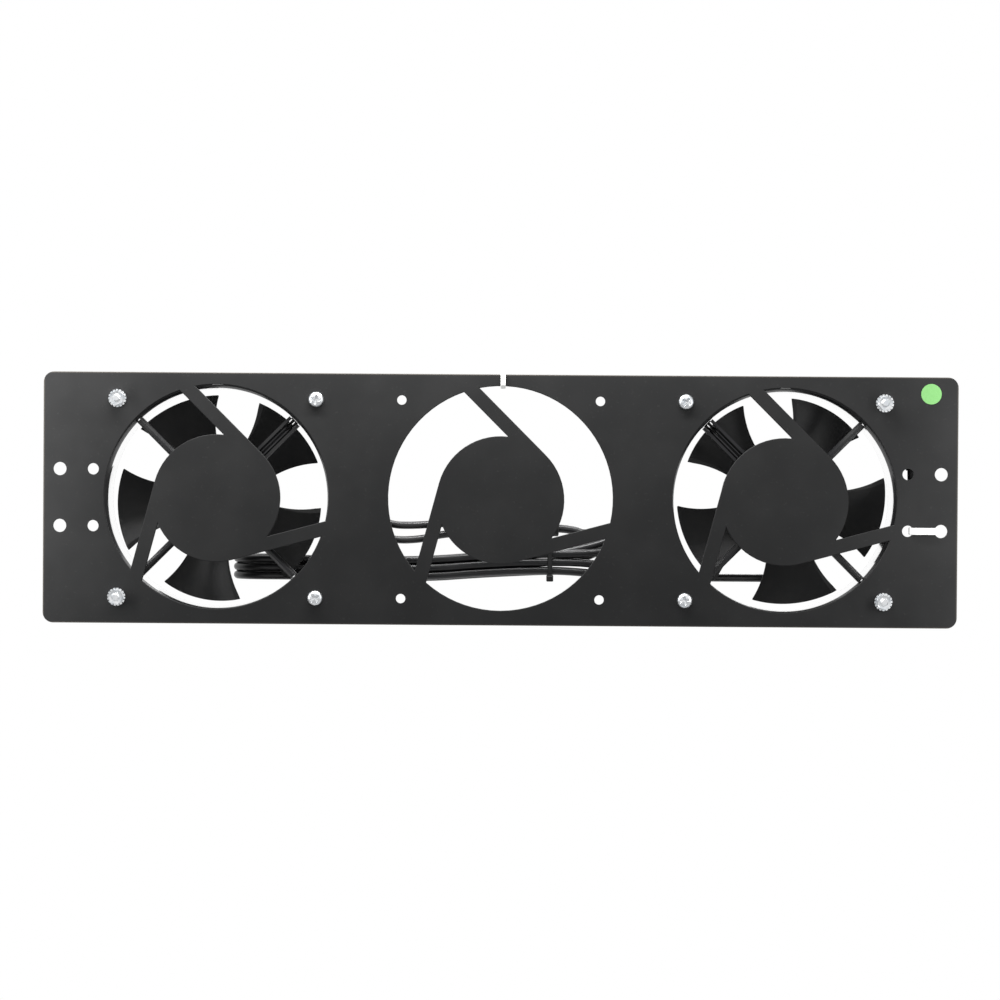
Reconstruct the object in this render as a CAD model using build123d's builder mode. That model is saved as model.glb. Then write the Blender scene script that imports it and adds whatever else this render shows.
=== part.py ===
from build123d import *
import math
import os

os.makedirs("parts", exist_ok=True)

# Lengths are millimetres and angles degrees. X runs right, Z up and Y away from the viewer.
# The origin is the middle of the panel's rear face, so the panel has negative depths.

# Panel, three rack units high
panel_width = 482.6
panel_height = 132.5
panel_thickness = 2.0
panel_corner_radius = 5.5
panel_edge_bevel = 0.3
rack_hole_margin = 8.75
rack_hole_pitch_z = 30.0
rack_hole_radius = 3.5
inner_hole_web = 5.7
inner_hole_radius = 3.0
bay_count = 3
bay_end_margin = 16.3
web_width = 6.95
opening_rise = 0.8
disc_radius = 33.7
arm_width = 7.4
arm_count = 3
first_arm_angle = 45.0
panel_screw_hole_radius = 2.5
sticker_radius = 5.4
sticker_thickness = 0.15
sticker_margin_x = 14.4
sticker_margin_z = 8.85

# Fan housing
fan_size = 120.0
fan_depth = 38.0
flange_thickness = 4.5
flange_corner_radius = 7.0
flange_hole_radius = 2.25
flange_hole_margin = 7.6
duct_inset = 0.2
duct_wall = 1.6
mouth_lip = 0.4
flare_depth = 9.0
base_radius = 31.0
base_recess = 0.5
base_thickness = 3.0
strut_depth = 6.0
strut_width = 3.8
strut_ridge_width = 1.2
strut_ridge_height = 2.2
wire_strut_width = 7.4
wire_channel_width = 4.4
wire_channel_depth = 3.4
wire_diameter = 1.6
wire_pitch = 2.0
wire_slot_margin = 6.7
wire_rise_margin = 4.2
wire_rise_depth = 6.0
wire_turn_margin = 2.6
strut_root_overlap = 1.2
grommet_radius = 3.0
grommet_collar_radius = 3.9
grommet_collar = 1.6
grommet_depth = 8.4
grommet_sink = 2.4
grommet_length = 6.4

# Motor
shaft_radius = 2.0
shaft_running_gap = 0.05
bearing_outer_radius = 5.5
bearing_width = 4.0
tube_wall = 1.9
tube_front = 1.0
tube_rear = 28.5
front_bearing_depth = 3.0
rear_bearing_depth = 24.0
stator_radius = 22.0
stator_front = 12.0
stator_rear = 26.0
stator_yoke_radius = 10.5
stator_neck_width = 6.0
stator_shoe_thickness = 3.5
stator_slot_width = 6.0
coil_thickness = 3.2
coil_front_radius = 11.6
coil_rear_radius = 17.0
air_gap = 0.5
rotor_ring_thickness = 5.4
rotor_ring_front = 11.0
rotor_ring_rear = 27.0
label_radius = 22.0
label_thickness = 0.2
clip_outer_radius = 3.8
clip_thickness = 0.6
groove_radius = 1.5
shaft_front = 1.4
groove_front = 2.0

# Impeller
hub_radius = 31.5
hub_front = 7.5
hub_rear = 35.5
hub_end_thickness = 2.5
hub_rim_fillet = 2.0
hub_boss_radius = 6.0
hub_boss_front = 29.3
blade_count = 5
blade_tip_gap = 3.2
blade_front = 9.0
blade_rear = 33.0
blade_thickness = 1.8
blade_root_half_angle = 21.0
blade_waist_half_angle = 20.3
blade_tip_half_angle = 23.6
blade_waist_radius = 40.0
blade_tip_fillet = 0.5
blade_root_radius = 30.0
blade_camber = 2.0
blade_oversize = 1.2
inner_section_radius = 26.0
inner_section_half_chord = 11.5
waist_section_half_chord = 15.2
outer_section_reach = 1.4
outer_section_half_chord = 25.4
left_blade_angle = 43.5
right_blade_angle = 62.5

# Fasteners
screw_radius = 2.0
pan_head_radius = 4.1
pan_head_height = 2.6
pan_head_fillet = 1.6
cross_width = 1.1
cross_length = 4.4
cross_depth = 1.4
nut_flats = 7.0
nut_height = 3.2
washer_radius = 4.75
washer_thickness = 0.8
washer_teeth = 16
washer_tooth_depth = 0.7
thread_end = 2.0
pan_thread_end = 1.0
bolt_head_radius = 3.9
bolt_head_height = 2.8

# Junction box behind the middle disc, on a pad
pad_width = 36.0
pad_height = 24.0
pad_thickness = 1.6
box_width = 44.0
box_height = 29.0
box_centre_z = -8.0
box_corner_radius = 4.0
box_base_depth = 12.0
box_wall = 1.8
box_boss_radius = 2.6
box_screw_radius = 1.2
box_screw_head_radius = 2.2
box_screw_head_height = 1.5
box_screw_length = 8.0
box_screw_inset = 4.2
lid_thickness = 2.4
lid_edge_fillet = 1.0
entry_depth = 9.0
gland_radius = 4.2
gland_flange_radius = 5.2
gland_flange_thickness = 1.8
gland_length = 9.0
gland_z = -15.0
terminal_width = 20.0
terminal_height = 14.0
terminal_depth = 7.0
terminal_z = -12.5
terminal_ways = 3
terminal_pitch = 6.4
terminal_hole_radius = 1.6
terminal_hole_depth = 3.0
core_diameter = 1.8
core_pitch = 2.1

# Leads, mains cord and its plug
lead_diameter = 4.0
lead_first_run = 4.5
left_lead_z = -17.5
right_lead_z = -12.5
cord_diameter = 4.4
hank_front = 39.9
hank_layers = 2
hank_loop_x = -128.8
hank_loop_radius = 14.3
hank_loop_angle = 38.0
hank_neck_x = -103.0
hank_end_x = 93.5
hank_tied_top_z = -31.0
hank_tied_bottom_z = -44.4
last_run_rise = 18.2
last_turn_inset = 10.4
plug_margin = 22.9
plug_y = 12.0
plug_width = 15.4
plug_depth = 22.0
plug_foot_z = 35.0
plug_top_z = 65.8
plug_corner_radius = 4.0
plug_foot_fillet = 2.5
socket_width = 11.6
socket_depth = 18.0
socket_reach = 15.0
socket_corner_radius = 2.2
pin_width = 2.0
pin_length = 13.0
pin_face = 4.0
pin_pitch = 5.6
pin_offset = 2.0
relief_foot_z = 17.0
relief_top_radius = 4.6
relief_foot_radius = 2.9
relief_grooves = 5
relief_groove_width = 1.1
relief_groove_depth = 0.7

# Cable ties
tie_thickness = 1.0
white_tie_thickness = 1.1
tie_bend = 0.6
top_tie_x = 1.0
top_tie_width = 2.6
side_tie_width = 3.6
side_tie_hole_inset = 1.9
side_tie_rack_inset = 2.55
black_tie_width = 2.6
bundle_tie_x = 27.0
tie_head_length = 4.6
tie_head_height = 3.6
tie_head_margin = 1.0
corner_tie_rise = 7.7
bundle_tie_low = -41.0
bundle_tie_high = -26.8
top_tie_rear = 5.0
top_tie_head_z = 62.8
side_tie_bend_depth = 2.0
side_tie_rear = 9.2

# Clearance of a seat or a pin in its hole, and of pieces that only pass each other
fit = 0.1
clear = 0.3

# Sizes that follow from those above
rack_hole_pitch_x = panel_width - 2 * rack_hole_margin
bay_pitch = (panel_width - 2 * bay_end_margin) / bay_count
opening_radius = panel_height / 2 - web_width
inner_hole_pitch_x = 2 * (bay_pitch + opening_radius + inner_hole_web)
sticker_x = panel_width / 2 - sticker_margin_x
sticker_z = panel_height / 2 - sticker_margin_z
screw_pitch = fan_size - 2 * flange_hole_margin
duct_outer_radius = fan_size / 2 - duct_inset
bore_radius = duct_outer_radius - duct_wall
mouth_radius = duct_outer_radius - mouth_lip
wire_slot_radius = bore_radius - wire_slot_margin
wire_rise_radius = bore_radius - wire_rise_margin
wire_turn_radius = bore_radius - wire_turn_margin
grommet_start = duct_outer_radius - grommet_sink
blade_tip_radius = bore_radius - blade_tip_gap
tube_outer_radius = bearing_outer_radius + fit + tube_wall
rotor_ring_inner = stator_radius + air_gap
rotor_ring_outer = rotor_ring_inner + rotor_ring_thickness
plug_x = panel_width / 2 - plug_margin
last_run_z = last_run_rise - fan_size / 2
side_tie_left_x = inner_hole_pitch_x / 2 + side_tie_hole_inset
side_tie_right_x = rack_hole_pitch_x / 2 - side_tie_rack_inset
side_tie_slope = (side_tie_right_x - side_tie_left_x) / 4
# Distance of each blade section from the axis, with half of the blade's chord there
blade_stations = (
    (inner_section_radius, inner_section_half_chord),
    (blade_waist_radius, waist_section_half_chord),
    (blade_tip_radius + outer_section_reach, outer_section_half_chord),
)


def save(part, name):
    """Label a finished piece and write it as its own file."""
    part.label = name
    export_step(part, f"parts/{name}.step")


def front_plane(depth=0.0, centre_x=0.0, centre_z=0.0, turn=0.0):
    """Plane that faces the viewer at a depth, turned counterclockwise about its own centre."""
    angle = math.radians(turn)
    return Plane(
        origin=(centre_x, depth, centre_z), x_dir=(math.cos(angle), 0, math.sin(angle)), z_dir=(0, -1, 0)
    )


def radial_plane(centre_x):
    """Plane through a fan's axis, where x is the radius and y the depth."""
    return Plane(origin=(centre_x, 0, 0), x_dir=(1, 0, 0), z_dir=(0, 0, 1))


def fan_axis(centre_x):
    """A fan's own axis."""
    return Axis((centre_x, 0, 0), (0, 1, 0))


def ring(centre_x, outer, inner, front, rear):
    """Plain ring about a fan's axis, from one depth to another."""
    with BuildPart() as body:
        with BuildSketch(front_plane(rear, centre_x)):
            Circle(outer)
            Circle(inner, mode=Mode.SUBTRACT)
        extrude(amount=rear - front)
    return body.part


# Panel
with BuildPart() as panel:
    with BuildSketch(front_plane()):
        RectangleRounded(panel_width, panel_height, panel_corner_radius)
        with GridLocations(rack_hole_pitch_x, rack_hole_pitch_z, 2, 2):
            Circle(rack_hole_radius, mode=Mode.SUBTRACT)
        with GridLocations(inner_hole_pitch_x, rack_hole_pitch_z, 2, 2):
            Circle(inner_hole_radius, mode=Mode.SUBTRACT)
        with Locations((0, opening_rise)):
            with GridLocations(bay_pitch, 0, bay_count, 1):
                Circle(opening_radius, mode=Mode.SUBTRACT)
        with GridLocations(bay_pitch, 0, bay_count, 1):
            Circle(disc_radius)
            with GridLocations(screw_pitch, screw_pitch, 2, 2):
                Circle(panel_screw_hole_radius, mode=Mode.SUBTRACT)
            with PolarLocations(0, arm_count, start_angle=first_arm_angle):
                with Locations((disc_radius, 0)):
                    Rectangle(arm_width, opening_radius - arm_width / 2, align=(Align.MAX, Align.MIN))
    extrude(amount=panel_thickness)
    # Cut edges are broken, except round the screw holes
    front_face = panel.faces().sort_by(Axis.Y)[0]
    large_outlines = [wire for wire in front_face.wires() if wire.length > disc_radius]
    chamfer([edge for wire in large_outlines for edge in wire.edges()], panel_edge_bevel)
save(panel.part, "panel")

with BuildPart() as sticker:
    with BuildSketch(front_plane(-panel_thickness, sticker_x, sticker_z)):
        Circle(sticker_radius)
    extrude(amount=sticker_thickness)
save(sticker.part, "green_sticker")


# Fan housing: two square flanges joined by a flared duct, with the motor base held on four struts
def fan_housing(centre_x, turn):
    """Housing turned so that its wide strut, which carries the wires, points to one corner."""
    base_rear = base_recess + base_thickness
    strut_rear = base_recess + strut_depth
    with BuildPart() as housing:
        for rear in (flange_thickness, fan_depth):
            with BuildSketch(front_plane(rear, centre_x, turn=turn)):
                RectangleRounded(fan_size, fan_size, flange_corner_radius)
                with GridLocations(screw_pitch, screw_pitch, 2, 2):
                    Circle(flange_hole_radius, mode=Mode.SUBTRACT)
            extrude(amount=flange_thickness)
        with BuildSketch(front_plane(fan_depth, centre_x)):
            Circle(duct_outer_radius)
        extrude(amount=fan_depth)
        with BuildSketch(radial_plane(centre_x)):
            with BuildLine():
                Polyline((mouth_radius, 0), (0, 0), (0, fan_depth), (mouth_radius, fan_depth))
                TangentArc((bore_radius, flare_depth), (mouth_radius, 0), tangent=(0, -1))
                Line((bore_radius, flare_depth), (bore_radius, fan_depth - flare_depth))
                TangentArc((bore_radius, fan_depth - flare_depth), (mouth_radius, fan_depth), tangent=(0, 1))
            make_face()
        revolve(axis=fan_axis(centre_x), mode=Mode.SUBTRACT)
        with BuildSketch(front_plane(base_rear, centre_x)):
            Circle(base_radius)
        extrude(amount=base_thickness)
        with BuildSketch(front_plane(stator_front, centre_x)):
            Circle(stator_yoke_radius)
        extrude(amount=stator_front - base_recess)
        for quarter in range(4):
            add(strut(centre_x, turn + 45 + 90 * quarter, quarter == 0))
        with BuildSketch(front_plane(stator_front, centre_x)):
            Circle(tube_outer_radius + fit)
        extrude(amount=stator_front, mode=Mode.SUBTRACT)
        with BuildSketch(front_plane(strut_rear, centre_x, turn=turn + 45)):
            with Locations((wire_slot_radius - wire_diameter, 0)):
                slot_length = bore_radius - wire_slot_radius + wire_diameter
                Rectangle(slot_length, wire_channel_width, align=(Align.MIN, Align.CENTER))
        extrude(amount=strut_depth, mode=Mode.SUBTRACT)
        with BuildSketch(grommet_plane(centre_x, turn)):
            Circle(grommet_radius + fit)
        extrude(amount=grommet_length, mode=Mode.SUBTRACT)
    return housing.part


def strut(centre_x, angle, holds_wires):
    """Bar from the motor base to the duct, with a narrow ridge in front or an open wire channel."""
    front, rear = base_recess, base_recess + strut_depth
    direction = Vector(math.cos(math.radians(angle)), 0, math.sin(math.radians(angle)))
    start = base_radius - strut_root_overlap
    run = duct_outer_radius - start - fit
    section = Plane(origin=Vector(centre_x, 0, 0) + direction * start, x_dir=(0, 1, 0), z_dir=direction)
    with BuildPart() as bar:
        with BuildSketch(section):
            with BuildLine():
                if holds_wires:
                    side, floor = wire_strut_width / 2, front + wire_channel_depth
                    slot = wire_channel_width / 2
                    Polyline(
                        (front, -side), (rear, -side), (rear, side), (front, side),
                        (front, slot), (floor, slot), (floor, -slot), (front, -slot), close=True,
                    )
                else:
                    side, ridge = strut_width / 2, strut_ridge_width / 2
                    shoulder = front + strut_ridge_height
                    Polyline(
                        (front, -ridge), (shoulder, -side), (rear, -side), (rear, side),
                        (shoulder, side), (front, ridge), close=True,
                    )
            make_face()
        extrude(amount=run)
    return bar.part


# Rubber grommet in the duct wall behind the front flange, where the wires become a sheathed lead
def corner_direction(turn):
    """Direction from a fan's centre to its wire corner."""
    angle = math.radians(turn + 45)
    return Vector(math.cos(angle), 0, math.sin(angle))


def grommet_plane(centre_x, turn):
    """Plane square to the wire strut, just inside the duct wall."""
    direction = corner_direction(turn)
    origin = Vector(centre_x, grommet_depth, 0) + direction * grommet_start
    return Plane(origin=origin, x_dir=(0, 1, 0), z_dir=direction)


def wire_grommet(centre_x, turn):
    """Bush through the duct wall with a collar outside it."""
    plane = grommet_plane(centre_x, turn)
    wall = duct_outer_radius + clear - grommet_start
    with BuildPart() as grommet:
        with BuildSketch(plane):
            Circle(grommet_radius)
        extrude(amount=grommet_length)
        with BuildSketch(plane.offset(wall)):
            Circle(grommet_collar_radius)
        extrude(amount=grommet_collar)
    return grommet.part


# Two insulated wires from the windings, along the strut's channel to the grommet
def strut_wires(centre_x, turn):
    """Wires laid side by side in the channel, then bent back to the grommet."""
    direction = corner_direction(turn)
    across = Vector(-direction.Z, 0, direction.X)
    channel_depth = base_recess + wire_channel_depth - wire_diameter / 2 - fit
    places = (
        (base_radius + fit, channel_depth),
        (wire_slot_radius, channel_depth),
        (wire_rise_radius, wire_rise_depth),
        (wire_turn_radius, grommet_depth),
        (grommet_start, grommet_depth),
    )
    with BuildPart() as wires:
        for side in (-0.5, 0.5):
            points = [
                Vector(centre_x, depth, 0) + direction * radius + across * (side * wire_pitch)
                for radius, depth in places
            ]
            add(tube(points, wire_diameter))
    return wires.part


def bend_radii(points):
    """The largest arc at each corner that leaves both of its runs a straight middle."""
    radii = []
    for before, here, after in zip(points, points[1:], points[2:]):
        turn = (here - before).get_angle(after - here)
        shorter = min((here - before).length, (after - here).length)
        radii.append(0.45 * shorter / math.tan(math.radians(turn / 2)))
    return radii


def tube(points, diameter):
    """Round cord along straight runs joined by tangent arcs."""
    vectors = [Vector(*point) for point in points]
    with BuildPart() as body:
        with BuildLine() as route:
            FilletPolyline(*vectors, radius=bend_radii(vectors))
        with BuildSketch(Plane(origin=vectors[0], z_dir=vectors[1] - vectors[0])):
            Circle(diameter / 2)
        sweep(path=route.line)
    return body.part


# Motor: bearing tube, bearings, stator core and its coils stay with the housing
def bearings(centre_x):
    """A front and a rear ball bearing inside the tube."""
    with BuildPart() as pair:
        for front in (front_bearing_depth, rear_bearing_depth):
            rear = front + bearing_width
            add(ring(centre_x, bearing_outer_radius, shaft_radius + shaft_running_gap, front, rear))
    return pair.part


def stator_core(centre_x):
    """Stack with four necks, whose wide shoes face the rotor ring."""
    shoe_inner = stator_radius - stator_shoe_thickness
    with BuildPart() as core:
        with BuildSketch(front_plane(stator_rear, centre_x)):
            Circle(stator_radius)
            Circle(shoe_inner, mode=Mode.SUBTRACT)
            Rectangle(2 * stator_radius, stator_slot_width, rotation=45, mode=Mode.SUBTRACT)
            Rectangle(2 * stator_radius, stator_slot_width, rotation=135, mode=Mode.SUBTRACT)
            Circle(stator_yoke_radius)
            Rectangle(2 * shoe_inner + fit, stator_neck_width)
            Rectangle(stator_neck_width, 2 * shoe_inner + fit)
            Circle(tube_outer_radius + fit, mode=Mode.SUBTRACT)
        extrude(amount=stator_rear - stator_front)
    return core.part


def stator_windings(centre_x):
    """A square coil round each neck."""
    middle = (stator_front + stator_rear) / 2
    inner_width = stator_neck_width + 2 * fit
    inner_length = stator_rear - stator_front + 2 * fit
    with BuildPart() as coils:
        for quarter in range(4):
            angle = math.radians(90 * quarter)
            direction = Vector(math.cos(angle), 0, math.sin(angle))
            foot = Vector(centre_x, middle, 0) + direction * coil_front_radius
            with BuildSketch(Plane(origin=foot, x_dir=(0, 1, 0), z_dir=direction)):
                Rectangle(inner_length + 2 * coil_thickness, inner_width + 2 * coil_thickness)
                Rectangle(inner_length, inner_width, mode=Mode.SUBTRACT)
            extrude(amount=coil_rear_radius - coil_front_radius)
    return coils.part


# Rotor: shaft, clip, rotor ring and the impeller that holds them
def shaft(centre_x):
    """Shaft with a groove for its clip, pressed into the impeller's boss."""
    with BuildPart() as rod:
        add(ring_less(centre_x, shaft_radius, shaft_front, hub_rear - hub_end_thickness / 2))
        groove_rear = groove_front + clip_thickness + fit
        groove = ring(centre_x, shaft_radius + fit, groove_radius, groove_front - fit, groove_rear)
        add(groove, mode=Mode.SUBTRACT)
    return rod.part


def ring_less(centre_x, radius, front, rear):
    """Plain disc about a fan's axis, from one depth to another."""
    with BuildPart() as body:
        with BuildSketch(front_plane(rear, centre_x)):
            Circle(radius)
        extrude(amount=rear - front)
    return body.part


def shaft_clip(centre_x):
    """Open clip in the shaft's groove."""
    with BuildPart() as clip:
        with BuildSketch(front_plane(groove_front + clip_thickness, centre_x)):
            Circle(clip_outer_radius)
            Circle(groove_radius + shaft_running_gap, mode=Mode.SUBTRACT)
            mouth = 2 * groove_radius
            Rectangle(clip_outer_radius, mouth, align=(Align.MIN, Align.CENTER), mode=Mode.SUBTRACT)
        extrude(amount=clip_thickness)
    return clip.part


def blade_section(centre_x, distance, half_chord):
    """Cambered strip across the blade, square to its radius, thin and a little longer than the blade."""
    slope = (blade_rear - blade_front) / (2 * half_chord)
    rise = blade_thickness * math.sqrt(1 + slope * slope)
    middle = (blade_front + blade_rear) / 2
    reach = half_chord * blade_oversize
    plane = Plane(origin=(centre_x + distance, middle, 0), x_dir=(0, 0, 1), z_dir=(1, 0, 0))
    with BuildSketch(plane) as section:
        with BuildLine():
            ends = [(-reach, -slope * reach), (reach, slope * reach)]
            ThreePointArc(ends[0], (0, -blade_camber), ends[1])
            far_end, near_end = (reach, rise + slope * reach), (-reach, rise - slope * reach)
            Line(ends[1], far_end)
            ThreePointArc(far_end, (0, rise - blade_camber), near_end)
            Line(near_end, ends[0])
        make_face()
    return section.sketch


def polar(radius, angle):
    """Point in a plane at a radius and an angle."""
    return (radius * math.cos(math.radians(angle)), radius * math.sin(math.radians(angle)))


def blade(centre_x):
    """Twisted sheet through three sections, trimmed to the outline that the blade shows from the front."""
    root_right, root_left = (polar(blade_root_radius, side * blade_root_half_angle) for side in (-1, 1))
    waist_right, waist_left = (polar(blade_waist_radius, side * blade_waist_half_angle) for side in (-1, 1))
    tip_right, tip_left = (polar(blade_tip_radius, side * blade_tip_half_angle) for side in (-1, 1))
    with BuildPart() as sheet:
        loft(sections=[
            blade_section(centre_x, distance, half_chord) for distance, half_chord in blade_stations
        ])
        with BuildSketch(front_plane(blade_rear, centre_x)) as outline:
            with BuildLine():
                ThreePointArc(root_right, (blade_root_radius, 0), root_left)
                ThreePointArc(root_left, waist_left, tip_left)
                ThreePointArc(tip_left, (blade_tip_radius, 0), tip_right)
                ThreePointArc(tip_right, waist_right, root_right)
            make_face()
            fillet(outline.vertices().sort_by(Axis.X)[-2:], blade_tip_fillet)
        extrude(amount=blade_rear - blade_front, mode=Mode.INTERSECT)
    return sheet.part


def impeller(centre_x, blade_angle):
    """Hub cup, closed at the rear, with a boss for the shaft and five blades."""
    inner = rotor_ring_outer + fit
    with BuildPart() as wheel:
        with BuildSketch(radial_plane(centre_x)):
            with BuildLine():
                Polyline(
                    (0, hub_rear), (hub_radius, hub_rear), (hub_radius, hub_front), (inner, hub_front),
                    (inner, hub_rear - hub_end_thickness), (hub_boss_radius, hub_rear - hub_end_thickness),
                    (hub_boss_radius, hub_boss_front), (0, hub_boss_front), close=True,
                )
            make_face()
        revolve(axis=fan_axis(centre_x))
        rim = wheel.edges().filter_by(GeomType.CIRCLE).group_by(Axis.Y)[-1]
        fillet(rim, hub_rim_fillet)
        one_blade = blade(centre_x)
        for index in range(blade_count):
            add(one_blade.rotate(fan_axis(centre_x), -(blade_angle + 360 / blade_count * index)))
        hole_end = hub_rear - hub_end_thickness / 2
        add(ring_less(centre_x, shaft_radius + shaft_running_gap, hub_front, hole_end), mode=Mode.SUBTRACT)
    return wheel.part


fans = (("left", -bay_pitch, 0, left_blade_angle), ("right", bay_pitch, 90, right_blade_angle))
for side_name, centre, turned, blade_angle in fans:
    save(fan_housing(centre, turned), f"{side_name}_fan_housing")
    save(wire_grommet(centre, turned), f"{side_name}_wire_grommet")
    save(strut_wires(centre, turned), f"{side_name}_strut_wires")
    tube_inner = bearing_outer_radius + fit
    save(ring(centre, tube_outer_radius, tube_inner, tube_front, tube_rear), f"{side_name}_bearing_tube")
    save(bearings(centre), f"{side_name}_bearings")
    save(stator_core(centre), f"{side_name}_stator_core")
    save(stator_windings(centre), f"{side_name}_stator_windings")
    save(
        ring(centre, rotor_ring_outer, rotor_ring_inner, rotor_ring_front, rotor_ring_rear),
        f"{side_name}_rotor_ring",
    )
    save(impeller(centre, blade_angle), f"{side_name}_impeller")
    save(shaft(centre), f"{side_name}_shaft")
    save(shaft_clip(centre), f"{side_name}_shaft_clip")
    label = ring_less(centre, label_radius, base_recess - label_thickness, base_recess)
    save(label, f"{side_name}_rating_label")


# Fasteners
def at_places(piece, places):
    """The same piece at several places, as separate solids."""
    with BuildPart() as group:
        with Locations(*places):
            add(piece)
    return group.part


def pan_screw(tip):
    """Pan-head screw through the panel, with a cross recess in its head."""
    with BuildPart() as screw:
        with BuildSketch(front_plane(-panel_thickness)):
            Circle(pan_head_radius)
        extrude(amount=pan_head_height)
        fillet(screw.edges().sort_by(Axis.Y)[0], pan_head_fillet)
        with BuildSketch(front_plane(-panel_thickness - pan_head_height)):
            Rectangle(cross_length, cross_width)
            Rectangle(cross_width, cross_length)
        extrude(amount=-cross_depth, mode=Mode.SUBTRACT)
        with BuildSketch(front_plane(tip)):
            Circle(screw_radius)
        extrude(amount=tip + panel_thickness)
    return screw.part


def hex_nut(front):
    """Hexagon nut with chamfered corners and a clear bore."""
    corner_radius = nut_flats / math.sqrt(3)
    with BuildPart() as nut:
        with BuildSketch(front_plane(front + nut_height)):
            Circle(corner_radius)
        extrude(amount=nut_height)
        chamfer(nut.edges().filter_by(GeomType.CIRCLE), corner_radius - nut_flats / 2)
        with BuildSketch(front_plane(front + nut_height)):
            RegularPolygon(corner_radius, 6)
            Circle(screw_radius + shaft_running_gap, mode=Mode.SUBTRACT)
        extrude(amount=nut_height, mode=Mode.INTERSECT)
    return nut.part


def toothed_washer():
    """Lock washer with notches round its rim."""
    with BuildPart() as washer:
        with BuildSketch(front_plane(-panel_thickness)):
            Circle(washer_radius)
            Circle(screw_radius + fit, mode=Mode.SUBTRACT)
            with PolarLocations(washer_radius, washer_teeth):
                Rectangle(2 * washer_tooth_depth, washer_tooth_depth, mode=Mode.SUBTRACT)
        extrude(amount=washer_thickness)
    return washer.part


def through_bolt(tip):
    """Bolt from the rear flange to the front of the panel."""
    with BuildPart() as bolt:
        with BuildSketch(front_plane(fan_depth + bolt_head_height)):
            Circle(bolt_head_radius)
        extrude(amount=bolt_head_height)
        fillet(bolt.edges().sort_by(Axis.Y)[-1], pan_head_fillet)
        with BuildSketch(front_plane(fan_depth + bolt_head_height)):
            Rectangle(cross_length, cross_width)
            Rectangle(cross_width, cross_length)
        extrude(amount=cross_depth, mode=Mode.SUBTRACT)
        with BuildSketch(front_plane(fan_depth)):
            Circle(screw_radius)
        extrude(amount=fan_depth - tip)
    return bolt.part


inner_x, outer_x = bay_pitch - screw_pitch / 2, bay_pitch + screw_pitch / 2
inner_places = [(x, 0, z) for x in (-inner_x, inner_x) for z in (-screw_pitch / 2, screw_pitch / 2)]
outer_places = [(x, 0, z) for x in (-outer_x, outer_x) for z in (-screw_pitch / 2, screw_pitch / 2)]
screw_tip = flange_thickness + nut_height + pan_thread_end
outer_nut_front = -panel_thickness - washer_thickness - nut_height
save(at_places(pan_screw(screw_tip), inner_places), "inner_pan_screws")
save(at_places(hex_nut(flange_thickness), inner_places), "inner_screw_nuts")
save(at_places(toothed_washer(), outer_places), "outer_toothed_washers")
save(at_places(hex_nut(outer_nut_front), outer_places), "outer_nuts")
save(at_places(through_bolt(outer_nut_front - thread_end), outer_places), "outer_through_bolts")


# Junction box
box_front = pad_thickness
lid_front = box_front + box_base_depth
lid_rear = lid_front + lid_thickness
box_screw_places = [
    (side * (box_width / 2 - box_screw_inset), box_height / 2 - box_screw_inset) for side in (-1, 1)
]

with BuildPart() as pad:
    with BuildSketch(front_plane(pad_thickness, 0, box_centre_z)):
        Rectangle(pad_width, pad_height)
    extrude(amount=pad_thickness)
save(pad.part, "adhesive_pad")

with BuildPart() as box_base:
    with BuildSketch(front_plane(lid_front, 0, box_centre_z)):
        RectangleRounded(box_width, box_height, box_corner_radius)
    extrude(amount=box_base_depth)
    with BuildSketch(front_plane(lid_front, 0, box_centre_z)):
        RectangleRounded(box_width - 2 * box_wall, box_height - 2 * box_wall, box_corner_radius - box_wall)
        with Locations(*box_screw_places):
            Circle(box_boss_radius, mode=Mode.SUBTRACT)
    extrude(amount=box_base_depth - box_wall, mode=Mode.SUBTRACT)
    with BuildSketch(front_plane(lid_front, 0, box_centre_z)):
        with Locations(*box_screw_places):
            Circle(box_screw_radius + shaft_running_gap)
    extrude(amount=box_screw_length, mode=Mode.SUBTRACT)
    with BuildSketch(Plane(origin=(-box_width / 2, entry_depth, 0), x_dir=(0, 1, 0), z_dir=(1, 0, 0))):
        with Locations((0, left_lead_z), (0, right_lead_z)):
            Circle(lead_diameter / 2 + fit)
    extrude(amount=box_corner_radius, mode=Mode.SUBTRACT)
    with BuildSketch(Plane(origin=(box_width / 2, entry_depth, gland_z), x_dir=(0, 1, 0), z_dir=(-1, 0, 0))):
        Circle(gland_radius + fit)
    extrude(amount=box_wall, mode=Mode.SUBTRACT)
save(box_base.part, "junction_box_base")

with BuildPart() as lid:
    with BuildSketch(front_plane(lid_rear, 0, box_centre_z)):
        RectangleRounded(box_width, box_height, box_corner_radius)
    extrude(amount=lid_thickness)
    fillet(lid.edges().group_by(Axis.Y)[-1], lid_edge_fillet)
    with BuildSketch(front_plane(lid_rear, 0, box_centre_z)):
        with Locations(*box_screw_places):
            Circle(box_screw_radius + fit)
    extrude(amount=lid_thickness, mode=Mode.SUBTRACT)
save(lid.part, "junction_box_lid")

with BuildPart() as lid_screws:
    with BuildSketch(front_plane(lid_rear + box_screw_head_height, 0, box_centre_z)):
        with Locations(*box_screw_places):
            Circle(box_screw_head_radius)
    extrude(amount=box_screw_head_height)
    with BuildSketch(front_plane(lid_rear, 0, box_centre_z)):
        with Locations(*box_screw_places):
            Circle(box_screw_radius)
    extrude(amount=box_screw_length)
save(lid_screws.part, "lid_screws")

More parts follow.
